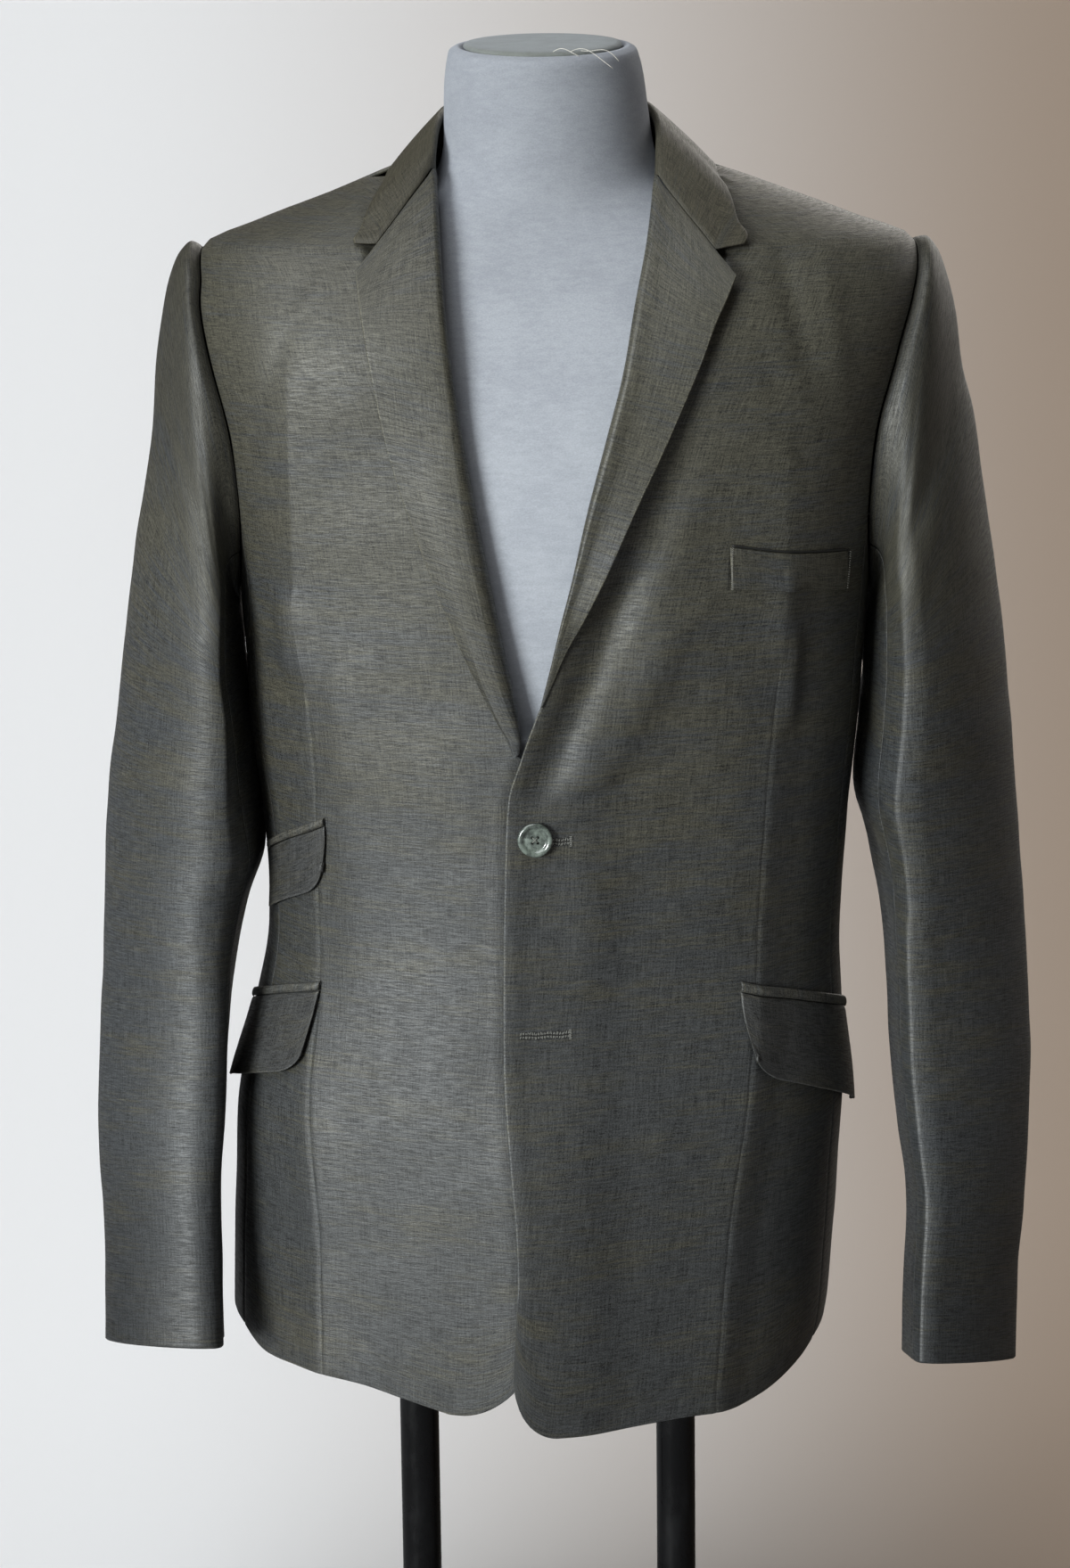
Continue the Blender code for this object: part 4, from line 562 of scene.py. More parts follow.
def grid_piece(name, points, facing, uv=None, marks=None, ring=False):
    """A piece over a grid of points. With ring, the last column joins the first one."""
    rows, columns = points.shape[:2]
    index = np.arange(rows * columns).reshape(rows, columns)
    if uv is None:
        uv = cut_map(points)
    if ring:
        index = np.concatenate([index, index[:, :1]], axis=1)
        uv = np.concatenate([uv, uv[:, -1:] + uv[:, 1:2] - uv[:, :1]], axis=1)
    quads = np.stack([index[:-1, :-1], index[:-1, 1:], index[1:, 1:], index[1:, :-1]], axis=-1)
    corner = np.stack([uv[:-1, :-1], uv[:-1, 1:], uv[1:, 1:], uv[1:, :-1]], axis=2)
    normal = np.cross(points[1:, 1:] - points[:-1, :-1], points[1:, :-1] - points[:-1, 1:])
    centres = (points[1:, 1:] + points[:-1, :-1]) / 2
    if np.sum(normal * facing(centres)) < 0:
        quads, corner = quads[..., ::-1], corner[:, :, ::-1]
    moved = points.reshape(-1, 3) + CENTRE_SHIFT
    return put_mesh(name, moved, quads.reshape(-1, 4), corner.reshape(-1, 2), marks or {})


def cloth_shell(node, points, facing, thickness, material, uv=None, seam=None,
                edge=None):
    """Cloth over a grid: the wall, its finish, the solid it stands for and its cut."""
    far = np.full(points.shape[:2], FAR)
    marks = {"seam": far if seam is None else seam, "edge": far if edge is None else edge}
    piece = grid_piece(f"cloth_{node}", points, facing, uv, marks)
    wall = piece.modifiers.new("wall", "SOLIDIFY")
    wall.thickness = thickness
    wall.offset = -1.0
    wall.use_rim = True
    piece.data.materials.append(material)
    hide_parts(node)
    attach(piece, "root")
    return piece


def away_from_axis(centres):
    """Facing for a wall that looks away from the upright line through the middle."""
    return centres * np.array([1.0, 1.0, 0.0])


# ---------------------------------------------------------------- body pieces
def body_levels(join_z):
    """Levels of a body piece: shares from the hem to HEM_TOP, then heights to the neck."""
    shares = spread(16, (0.006, 0.012, 0.02))[:-1]
    heights = np.concatenate([np.linspace(HEM_TOP, PANEL_TOP, 150), [join_z, TIP_Z],
                              armhole_z(np.linspace(0.0, 0.75, 70))])
    heights = np.unique(np.round(heights[(heights < join_z - 0.0015) | (heights > join_z + 0.0015)],
                                 4))
    heights = np.sort(np.append(heights, join_z))
    keep = np.concatenate([[True], np.diff(heights) > 0.0006])
    heights = heights[keep | np.isclose(heights, join_z)]
    z = np.concatenate([np.full(len(shares), HEM_TOP), heights])
    return np.concatenate([shares, np.ones(len(heights))])[:, None], z[:, None]


def front_shell(side_name, side, edge_rows, dart_rows, corner, wrap, material):
    """A front: the dart line is a grid column, so that its groove is sharp from hem to chest.

    The front sinks where its lapel covers it, so that nothing of it comes through.
    """
    edge = table(("z", "x"), edge_rows)
    dart = table(("z", "x"), dart_rows)
    join_z = float(side_top(SIDE_SEAM_FRONT))
    share, level = body_levels(join_z)
    inner = angle_of(smooth(level, edge["z"], edge["x"]), level)
    outer = side * (piece_edge(level, join_z, SIDE_SEAM_FRONT) - seam_angle(level))
    dart_z = np.clip(level - (1 - share) * 0.08, dart["z"][0], DART_TOP)
    dart_part = (angle_of(smooth(dart_z, dart["z"], dart["x"]), dart_z) - inner) / (outer - inner)
    dart_part = np.clip(dart_part, 0.45, 0.93)
    held = dart_part[np.argmin(np.abs(level[:, 0] - DART_TOP))]
    above = held + (0.70 - held) * ease(level, DART_TOP, 0.90)
    dart_part = np.where(level > DART_TOP, above, dart_part)
    near = np.array([0.0006, 0.0012, 0.0022, 0.0040, 0.0065])
    front_share = spread(74, near * 2, near * 3)
    side_share = spread(40, near * 6, near * 2)[1:]
    part = np.concatenate([dart_part * front_share[None],
                           dart_part + (1 - dart_part) * side_share], axis=1)
    angle = inner + (outer - inner) * part
    top_x = ring_point(BODY, angle, np.full_like(angle, HEM_TOP))[..., 0]
    inside = np.clip(1 - np.abs(top_x - top_x[:, :1]) / corner[0], 0.0, 1.0)
    under = angle if wrap else np.minimum(angle, math.radians(-13.0))
    low = hem_z(under) + corner[1] * (1 - np.sqrt(1 - inside ** 2))
    z = np.where(share < 1, low + (HEM_TOP - low) * share, level * np.ones_like(angle))
    lift = np.zeros_like(angle)
    if wrap:
        x = ring_point(BODY, angle, z)[..., 0]
        lift = WRAP_LIFT * ease(-x, -WRAP_OUTER, -WRAP_INNER) * ease(-z, -0.760, -0.700)
    # The distance to the dart line is kept as the seam mark, along which the cloth gets a painted
    # highlight.
    line = ring_point(BODY, angle, z)[..., 0] - smooth(z, dart["z"], dart["x"])
    seam = np.where(z < dart["z"][-2], line, FAR)
    seam = np.where((z > dart["z"][-2] - 0.004) & (z < dart["z"][-2]), line * 3 + 0.0002, seam)
    fading = ease(-z, -dart["z"][-2], -dart["z"][-2] + 0.02)
    lift = lift - 0.0006 * np.exp(-(line / 0.0016) ** 2) * fading
    lapel = table(LAPEL_COLUMNS, LEFT_LAPEL_ROWS if side > 0 else RIGHT_LAPEL_ROWS)
    cover = side * (smooth(z, lapel["edge_z"], lapel["edge_x"])
                    - ring_point(BODY, angle, z)[..., 0])
    foot = lapel["edge_z"][0] if side > 0 else lapel["edge_z"][1]
    lift = lift - UNDER_LAPEL * ease(cover, 0.003, 0.010) * ease(z, foot, foot + 0.03)
    points = body_point(angle, z, lift)
    points, edge_distance = finish_edges(points, outward(BODY, points), ("first", "low"),
                                         ("last",))
    return cloth_shell(f"front_{side_name}", points, away_from_axis, BODY_CLOTH, material,
                       seam=seam, edge=edge_distance)


def side_shell(side_name, side, material):
    """Side body, hem to underarm between its two seams."""
    shares = spread(16, (0.006, 0.012, 0.02))[:-1]
    heights = np.linspace(HEM_TOP, 0.700, 84)
    up = np.linspace(0.0, 1.0, 12)[1:]
    low_z = np.concatenate([np.full(len(shares), HEM_TOP), heights, np.full(len(up), 0.700)])
    across = spread(26, (0.006, 0.012, 0.022, 0.04), (0.006, 0.012, 0.022, 0.04))[None]
    first, last = SIDE_SEAM_FRONT + seam_angle(low_z), SIDE_SEAM_BACK - seam_angle(low_z)
    angle = side * (first[:, None] + (last - first)[:, None] * across)
    hem = hem_z(angle)
    z = low_z[:, None] * np.ones_like(angle)
    count = len(shares)
    z[:count] = hem[:count] + (HEM_TOP - hem[:count]) * shares[:, None]
    z[-len(up):] = 0.700 + (side_top(angle[-len(up):]) - 0.700) * up[:, None]
    points = body_point(angle, z)
    points, edge = finish_edges(points, outward(BODY, points), ("low",), ("first", "last", "high"))
    return cloth_shell(f"side_{side_name}", points, away_from_axis, BODY_CLOTH, material,
                       edge=edge)


def back_shell(side_name, side, material):
    """Half back: centre seam to side seam, armhole and shoulder seam."""
    join_z = float(side_top(SIDE_SEAM_BACK))
    share, level = body_levels(join_z)
    near = np.array([0.002, 0.004, 0.008, 0.014])
    part = spread(56, near, near)[None]
    inner = side * (np.pi - seam_angle(level) * BACK_SEAM_SHARE)
    outer = side * (piece_edge(level, join_z, SIDE_SEAM_BACK) + seam_angle(level))
    angle = inner + (outer - inner) * part
    low = hem_z(angle)
    z = np.where(share < 1, low + (HEM_TOP - low) * share, level * np.ones_like(angle))
    points = body_point(angle, z)
    points, edge = finish_edges(points, outward(BODY, points), ("low",), ("first", "last"))
    return cloth_shell(f"back_{side_name}", points, away_from_axis, BODY_CLOTH, material,
                       edge=edge)


# ---------------------------------------------------------------- lapels and collar
def roll_section(crest, fall, face, radius, turns):
    """Points round a soft fold: its centre plus the radius along a turning direction."""
    centre = crest + fall * radius[..., None]
    return [centre + (face * np.cos(turn) - fall * np.sin(turn)) * radius[..., None]
            for turn in turns]


def lapel_frame(lapel_rows, at):
    """Crest, outer edge, face direction, fall direction and sizes of a lapel at its levels."""
    rows = table(LAPEL_COLUMNS, lapel_rows)
    knots = np.linspace(0.0, 1.0, len(lapel_rows))
    value = {column: smooth(at, knots, rows[column]) for column in LAPEL_COLUMNS}
    radius = value["roll_radius"]
    left = lapel_rows is LEFT_LAPEL_ROWS
    wrapped = WRAP_LIFT * 0.5 * ease(-value["roll_z"], -0.760, -0.700) * left
    value["lift"] = LAPEL_LIFT * (0.6 + 0.4 * ease(at, 0.0, 0.12)) + wrapped
    value["stand_off"] = (LEFT_STAND_OFF if left else RIGHT_STAND_OFF) * ease(at, 0.10, 0.40)
    crest = front_point(value["roll_x"], value["roll_z"], value["lift"] - radius * 0.45, False)
    edge = front_point(value["edge_x"], value["edge_z"], value["lift"] + value["stand_off"], False)
    face = outward(BODY, crest)
    fall = edge - crest
    fall = unit(fall - face * np.sum(fall * face, axis=-1, keepdims=True))
    return crest, edge, face, fall, value


def lapel_face(value, length, share):
    """Point of a lapel's face at a share of the way from its roll to its outer edge."""
    start = 2.2 * value["roll_radius"] / length
    t = start + (1 - start) * share
    x = value["roll_x"] + (value["edge_x"] - value["roll_x"]) * t
    z = value["roll_z"] + (value["edge_z"] - value["roll_z"]) * t
    crown = value["roll_radius"] * 0.53
    lift = value["lift"] + crown + (value["stand_off"] - crown) * 1.2 * share ** 2 / (0.2 + share)
    return front_point(x, z, lift, False)


FOLD_TURNS = np.radians(np.linspace(155.0, 2.0, 17))
FALL_SHARES = np.array([0.08, 0.16, 0.25, 0.33, 0.42, 0.50, 0.58, 0.67, 0.75,
                        0.83, 0.91, 0.96, 0.985])


def lapel_shell(side_name, lapel_rows, material):
    """Lapel: hidden return, rounded roll and face to the outer edge, as columns of a grid."""
    at = spread(110, (), (0.001, 0.002, 0.004))
    crest, edge, face, fall, value = lapel_frame(lapel_rows, at)
    length = np.linalg.norm(edge - crest, axis=-1)
    columns = roll_section(crest, fall, face, value["roll_radius"], FOLD_TURNS)
    columns += [lapel_face(value, length, share)
                for share in spread(22, (), (0.006, 0.012, 0.02, 0.03))]
    grid = np.stack(columns, axis=1)
    facing = facing_of_fold(grid)
    points, edge_distance = finish_edges(grid, grid_normals(grid, facing), ("last",), ("high",),
                                         radius=0.0008)
    slant = 0.25 if side_name == "left" else -0.25
    return cloth_shell(f"lapel_{side_name}", points, facing, FOLD_CLOTH, material,
                       uv=cut_map(points, slant=slant), edge=edge_distance)


def facing_of_fold(grid):
    """Facing for a folded wall: only what is near its last columns counts, away from the body."""
    last = grid[:, -2:].reshape(-1, 3)

    def facing(centres):
        flat = centres.reshape(-1, 3)
        near = np.min(np.linalg.norm(flat[:, None] - last[None, ::7], axis=-1), axis=1) < 0.02
        return (centres - np.array([0.0, 0.02, 0.0])) * np.array([1.0, 1.0, 0.0]) * near.reshape(
            centres.shape[:-1])[..., None]
    return facing


def gorge_section(lapel_rows):
    """The lapel's top edge, moved up by the seam gap, as the collar's first section."""
    crest, edge, face, fall, value = lapel_frame(lapel_rows, np.array([1.0]))
    length = np.linalg.norm(edge - crest, axis=-1)
    folded = roll_section(crest, fall, face, value["roll_radius"], FOLD_TURNS)
    sewn = np.interp(FALL_SHARES[:9], (0.0, 0.25, 0.5, 0.75), (0.0, 0.25, 0.6, 1.0)) * GORGE_SHARE
    points = np.concatenate(folded + [lapel_face(value, length, share) for share in sewn])
    up = np.cross(face[0], fall[0])
    return points + up * np.sign(up[2]) * (SEAM_GAP + 0.0002)


def collar_shell(material):
    """Collar: stand, rounded fold and fall. Its ends turn into the gorge seams and the notches."""
    rows = table(COLLAR_COLUMNS, COLLAR_ROWS)
    last = len(COLLAR_ROWS) - 1.0
    at = np.unique(np.concatenate([np.linspace(0.0, 2.0, 28), np.linspace(2.0, last - 2, 96),
                                   np.linspace(last - 2, last, 28), (0.02, last - 0.02)]))
    value = {column: smooth(at, np.arange(last + 1), rows[column]) for column in COLLAR_COLUMNS}
    crest = np.stack([value["crest_x"], value["crest_y"], value["crest_z"]], axis=-1)
    edge = body_point(np.radians(value["edge_angle"]), value["edge_z"], value["lift"])
    along = unit(np.gradient(crest, at, axis=0))
    fall = edge - crest
    fall = unit(fall - along * np.sum(fall * along, axis=-1, keepdims=True))
    face = np.cross(fall, along)
    from_neck = crest - np.array([0.001, 0.012, 1.005])
    face *= np.sign(np.sum(face * from_neck, axis=-1, keepdims=True))
    folded = roll_section(crest, fall, face, np.full(len(at), COLLAR_ROLL), FOLD_TURNS)
    radial = (crest - np.array([0.001, 0.004, 0.0])) * np.array([1.0, 1.0, 0.0])
    foot = crest + unit(radial) * value["spread"][:, None]
    foot[:, 2] -= value["drop"]
    stand = [foot + (folded[0] - foot) * share for share in (0.0, 0.25, 0.5, 0.75)]
    top = folded[-1]
    falls = [top + (edge - top) * share + face * 0.003 * share * (1 - share)
             for share in FALL_SHARES]
    grid = np.stack(stand + folded + falls + [edge], axis=1)
    sewn = slice(4, 4 + len(FOLD_TURNS) + 9)
    loose = slice(4 + len(FOLD_TURNS) + 9, grid.shape[1] - 1)
    for lapel_rows, end, distance in ((RIGHT_LAPEL_ROWS, 0, at), (LEFT_LAPEL_ROWS, -1, last - at)):
        shift = gorge_section(lapel_rows) - grid[end, sewn]
        fade = (1 - ease(distance, 0.0, 1.5))[:, None, None]
        left_over = (1 - FALL_SHARES[9:, None]) / 0.25
        grid[:, 1:4] += shift[0] * fade * np.array([0.25, 0.5, 0.75])[None, :, None]
        grid[:, sewn] += shift[None] * fade
        grid[:, loose] += (shift[-1] * left_over)[None] * fade
    facing = facing_of_fold(grid)
    points, edge_distance = finish_edges(grid, grid_normals(grid, facing), ("last",),
                                         ("low", "high"), radius=0.0008)
    return cloth_shell("collar", points, facing, FOLD_CLOTH, material,
                       uv=cut_map(points, turned=True), edge=edge_distance)


# ---------------------------------------------------------------- sleeves
def body_x(y, z, side):
    """Where the side of the body is, seen from the side at y and z."""
    at = section(BODY, z)
    depth = np.where(y < RING_CENTRE_Y, at["front_y"], at["back_y"])
    share = np.clip(np.abs(y - RING_CENTRE_Y) / depth, 0.0, 1.0)
    across = (1 - share ** at["roundness"]) ** (1 / at["roundness"])
    return at["centre_x"] + side * at["half_width"] * across


def sleeve_grid(side_name, sleeve_rows, angles, at):
    """Sleeve surface: loops between each row's outer and inner points, leaned and pressed.

    A point is the loop's middle plus half the line from inner to outer point times the cosine of
    its angle, and its half depth times the sine towards the front. The front line is the ridge
    at 90 degrees, and both sides of it come near to straight chords. Creases are bell curves
    across lines in row number and angle. The first loops bend onto the armhole.
    """
    press = dict(zip(PRESS_COLUMNS, [row for row in PRESS_ROWS if row[0] == side_name][0]))
    rows = table(SLEEVE_COLUMNS, sleeve_rows)
    knots = np.arange(len(sleeve_rows), dtype=float)
    value = {column: smooth(at, knots, rows[column]) for column in SLEEVE_COLUMNS}
    outer = np.stack([value["outer_x"], value["middle_y"], value["outer_z"]], axis=-1)
    inner = np.stack([value["inner_x"], value["middle_y"], value["inner_z"]], axis=-1)
    middle, half = (outer + inner) / 2, (outer - inner) / 2
    length = np.linalg.norm(half, axis=-1)[:, None]
    pressed = ease(at, 1.0, 5.0)[:, None]
    degrees = np.degrees(angles)
    crease = np.zeros((len(at), len(angles)))
    for row_low, angle_low, row_high, angle_high, half_width, height in SLEEVE_CREASE_ROWS:
        along = (at[:, None] - row_low) / (row_high - row_low)
        line = angle_low + (angle_high - angle_low) * along
        turn = (degrees[None, :] - line + 180) % 360 - 180
        ends = ease(along, -0.3, 0.25) * ease(-along, -1.3, -0.75)
        crease += height * np.exp(-(np.radians(turn) * length / half_width) ** 2) * ends
    cosine, sine = np.cos(angles)[None, :], np.sin(angles)[None, :]
    front = np.clip(sine, 0.0, None)
    low = ease(at, 9.5, 13.0)[:, None]
    lean = smooth(at, *np.array(LEAN_ROWS[side_name]).T)[:, None] * pressed
    inner_flat = press["inner_flat"] + (press["low_flat"] - press["inner_flat"]) * low
    rounded = cosine - lean * front ** 2
    chord = np.where(cosine > 0, 1 - (1 + lean) * front, (1 - lean) * front - 1)
    flat = np.where(cosine > 0, press["outer_flat"], inner_flat)
    away = 1 - np.exp(-((degrees - 90) / press["round_angle"]) ** 2)
    flat = flat * away[None, :] * (sine > 0) * pressed
    across = rounded + (chord - rounded) * flat + cosine * crease / length
    depth = (value["half_depth"][:, None] + crease) * sine
    points = middle[:, None] + half[:, None] * across[..., None]
    points[..., 1] -= depth
    points[..., 2] += depth * value["rise"][:, None]
    start = points[0]
    on_body = body_x(start[:, 1], start[:, 2], np.sign(value["outer_x"][0]))
    fade = np.clip(1 - at / 6.0, 0.0, 1.0) ** 2
    points[..., 0] += (on_body - start[:, 0])[None, :] * fade[:, None]
    unrest = cloth_unrest(points * 1.3) * ease(at, 0.5, 2.0)[:, None]
    return points + unit(points - middle[:, None]) * unrest[..., None]


def sleeve_shells(side_name, sleeve_rows, material):
    """Top sleeve and under sleeve, parted at the front and back seams."""
    gap = math.radians(0.35)
    near = (0.0025, 0.006, 0.012)
    at = np.unique(np.concatenate([np.linspace(0.0, 3.0, 34), np.linspace(3.0, 19.0, 116),
                                   (0.02, 0.05, 18.98, 18.96)]))
    first = BACK_SLEEVE_SEAM - 2 * math.pi + gap
    top = first + (FRONT_SLEEVE_SEAM - gap - first) * spread(64, near, near)
    start = FRONT_SLEEVE_SEAM + gap
    under = start + (BACK_SLEEVE_SEAM - gap - start) * spread(26, near, near)
    axis = sleeve_grid(side_name, sleeve_rows, np.array([0.0, math.pi]), at).mean(axis=1)

    def facing(centres):
        rows = axis[np.round(np.linspace(0, len(axis) - 1, centres.shape[0])).astype(int)]
        return centres - rows[:, None]
    for part, angles, flat, area in (("top", top, (0.30, 0.70), 0.155),
                                     ("under", under, (0.125, 0.53), 0.050)):
        points = sleeve_grid(side_name, sleeve_rows, angles, at)
        points, edge = finish_edges(points, grid_normals(points, facing), ("high",),
                                    ("first", "last", "low"))
        cloth_shell(f"sleeve_{part}_{side_name}", points, facing, SLEEVE_CLOTH, material,
                    edge=edge)


# ---------------------------------------------------------------- pockets and welt
def pocket_shells(flap_material, strip_material):
    """Each pocket's strip, a low rounded roll, and the flap that hangs under it."""
    for row in POCKET_ROWS:
        at = dict(zip(POCKET_COLUMNS, row))
        start, end = math.radians(at["top_front"]), math.radians(at["top_back"])
        across = spread(64, (0.004, 0.008, 0.013, 0.02, 0.03), (0.006, 0.012))[None]
        angle = start + (end - start) * across
        top = at["top_front_z"] + (at["top_back_z"] - at["top_front_z"]) * across
        up = np.linspace(0.0, 1.0, 14)[:, None]
        roll = 0.0018 + 0.0012 * np.sqrt(np.clip(1 - (2 * up - 1) ** 2, 0.0, 1.0))
        points = body_point(angle * np.ones_like(up), top + at["strip"] * up,
                            roll * np.ones_like(angle))
        points, edge = finish_edges(points, outward(BODY, points), ("first", "last"), radius=0.0007)
        cloth_shell(f"jet_{at['name']}", points, away_from_axis, 0.0010, strip_material,
                    uv=cut_map(points, turned=True))
        down = spread(30, (0.01, 0.02), (0.006, 0.012, 0.02, 0.03))[:, None]
        drop = (at["depth"] + (at["back_depth"] - at["depth"]) * across) * down
        inside = np.clip(1 - across / at["corner_share"], 0.0, 1.0)
        rise = at["corner"] * (1 - np.sqrt(1 - inside ** 2)) * down
        move = at["cut_back"] * down ** 2 / 0.13
        flap_angle = angle + np.sign(start) * move * (1 - across)
        lift = FLAP_CLOTH + LAY_GAP + at["stand_off"] * down * (0.4 + 0.6 * across)
        points = body_point(flap_angle, top - 0.0005 - drop + rise, lift)
        points, edge = finish_edges(points, outward(BODY, points), ("first", "last", "high"),
                                    ("low",), radius=0.0008)
        cloth_shell(f"flap_{at['name']}", points, away_from_axis, FLAP_CLOTH, flap_material,
                    edge=edge)


def welt_shell(material):
    """Breast welt: a straight strip with free sides and top and a sewn foot."""
    rows = table(("x", "top_z", "bottom_z"), WELT_ROWS)
    x = rows["x"][0] + (rows["x"][-1] - rows["x"][0]) * spread(44, (0.006, 0.012, 0.018),
                                                               (0.006, 0.012, 0.018))[None]
    up = spread(22, (0.02, 0.04), (0.015, 0.03, 0.045))[:, None]
    top, bottom = smooth(x, rows["x"], rows["top_z"]), smooth(x, rows["x"], rows["bottom_z"])
    across = (x - x.min()) / (x.max() - x.min())
    opened = 0.0016 * up ** 3 * np.sin(np.pi * across) ** 0.5
    points = front_point(x - 0.0012 * up, bottom + (top - bottom) * up,
                         FLAP_CLOTH + LAY_GAP + opened)
    points, edge = finish_edges(points, outward(BODY, points), ("first", "last", "high"), ("low",),
                                radius=0.0008)
    # No painted edge highlight along the welt's top.
    edge = np.where(up * np.ones_like(x) < 0.9, edge, FAR)
    return cloth_shell("breast_welt", points, away_from_axis, FLAP_CLOTH, material,
                       edge=edge)


# ---------------------------------------------------------------- sewing
# Buttonholes: name, x of both ends and height.
BUTTONHOLE_ROWS = (("buttonhole_front", -0.0185, 0.0110, BUTTON_Z - 0.0020),
                   ("buttonhole_low", -0.0195, 0.0095, 0.4950))


def tube(paths, radius, sides=5):
    """Points and faces of round threads along many paths of one length.

    Each section is a circle of the radius across the path's own direction.
    """
    paths = np.asarray(paths, float)
    count, steps = paths.shape[:2]
    along = unit(np.gradient(paths, axis=1))
    helper = np.where(np.abs(along[..., 2:]) > 0.9, np.array([1.0, 0.0, 0.0]),
                      np.array([0.0, 0.0, 1.0]))
    side = unit(np.cross(along, helper))
    other = np.cross(side, along)
    turn = np.linspace(0.0, 2 * np.pi, sides, endpoint=False)
    ring = (side[:, :, None] * np.cos(turn)[:, None] + other[:, :, None] * np.sin(turn)[:, None])
    points = (paths[:, :, None] + ring * radius).reshape(-1, 3)
    index = np.arange(count * steps * sides).reshape(count, steps, sides)
    after = np.roll(index, -1, axis=2)
    quads = np.stack([index[:, :-1], after[:, :-1], after[:, 1:], index[:, 1:]], axis=-1)
    start = index[:, 0]
    end = index[:, -1]
    caps = []
    for k in range(1, sides - 1):
        caps.append(np.stack([start[:, 0], start[:, k + 1], start[:, k]], axis=-1))
        caps.append(np.stack([end[:, 0], end[:, k], end[:, k + 1]], axis=-1))
    return points, quads.reshape(-1, 4), np.concatenate(caps)


def thread_piece(name, paths, radius, material):
    """One piece of many threads."""
    points, quads, caps = tube(paths, radius)
    mesh = bpy.data.meshes.new(name)
    mesh.from_pydata((points + CENTRE_SHIFT).tolist(), [], quads.tolist() + caps.tolist())
    work = bmesh.new()
    work.from_mesh(mesh)
    bmesh.ops.recalc_face_normals(work, faces=work.faces)
    work.to_mesh(mesh)
    work.free()
    mesh.shade_smooth()
    piece = bpy.data.objects.new(name, mesh)
    bpy.context.scene.collection.objects.link(piece)
    piece.data.materials.append(material)
    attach(piece, "root")
    return piece


def arcs_over(x_from, z_from, x_to, z_to, lift, height, steps=5):
    """Short threads over the front from one line of points to another, raised in their middle."""
    t = np.linspace(0.0, 1.0, steps)[None]
    x = x_from[:, None] + (x_to - x_from)[:, None] * t
    z = z_from[:, None] + (z_to - z_from)[:, None] * t
    return front_point(x, z, lift + height * np.sin(np.pi * t) * np.ones_like(x))


def buttonhole(name, x_start, x_end, z, lift, material, shadow_material):
    """Hand-worked buttonhole: uneven stitches on both lips of its cut, a bar at its end, and dark
    threads that are painted shadow in the cut and just outside both lips.
    """
    count = int(abs(x_end - x_start) / 0.00070)
    step = np.arange(count)
    x = np.linspace(x_start, x_end, count) + 0.00018 * np.sin(step * 3.7)
    middle = z + 0.00025 * np.sin(step * 0.35)
    uneven = 0.00035 * np.sin(step * 2.4) + 0.00030 * np.sin(step * 0.9)
    upper = arcs_over(x, middle + 0.00045, x + 0.0002, middle + 0.0017 + uneven, lift, 0.00035)
    lower = arcs_over(x, middle - 0.00045, x - 0.0002, middle - 0.0017 + uneven, lift, 0.00035)
    bar_z = z + np.linspace(-0.0027, 0.0027, 7)
    bar = arcs_over(np.full(7, x_end - 0.0008), bar_z, np.full(7, x_end + 0.0010), bar_z + 0.0003,
                    lift, 0.0005)
    # Painted shadow: a dark thread along the cut stands for the shade in the opening.
    slit_x = np.linspace(x_start, x_end, 24)
    shadow_thread = [front_point(slit_x, z + 0.00025 * np.sin(np.linspace(0.0, 0.35 * count, 24)) + shift,
                        lift - 0.0001) for shift in (-0.00022, 0.00022)]
    thread_piece(f"{name}_slit", shadow_thread, 0.00034, shadow_material)
    # Painted shadow: dark lines just outside the stitches stand for the stitches' own shadows.
    for shift, part in ((0.0021, "above"), (-0.0021, "below")):
        line = front_point(slit_x, z + shift + 0.0002 * np.sin(slit_x * 900.0), lift - 0.0001)
        thread_piece(f"{name}_{part}", [line], 0.00018, shadow_material)
    return thread_piece(name, np.concatenate([upper, lower, bar]), 0.00026, material)


def edge_stitches(name, x_from, z_from, x_to, z_to, pitch, lift, material, slant=0.0004):
    """A row of small slanted stitches along a line on the front."""
    count = int(math.hypot(x_to - x_from, z_to - z_from) / pitch)
    t = np.linspace(0.0, 1.0, count)
    x, z = x_from + (x_to - x_from) * t, z_from + (z_to - z_from) * t
    step = np.array([z_to - z_from, x_from - x_to]) / math.hypot(x_to - x_from, z_to - z_from)
    threads = arcs_over(x - step[0] * slant, z - step[1] * slant, x + step[0] * slant,
                        z + step[1] * slant + 0.0004, lift, 0.0003)
    return thread_piece(name, threads, 0.00016, material)


# ---------------------------------------------------------------- button
BUTTON_PROFILE = (
    (0.0, 0.00235), (0.0030, 0.00230), (0.0046, 0.00225), (0.0053, 0.00205), (0.0059, 0.00195),
    (0.0065, 0.00210), (0.0071, 0.00265), (0.0078, 0.00315), (0.0086, 0.00330), (0.0093, 0.00318),
    (0.0098, 0.00280), (0.0101, 0.00220), (0.0100, 0.00160), (0.0094, 0.00100), (0.0082, 0.00055),
    (0.0060, 0.00025), (0.0, 0.00010),
)


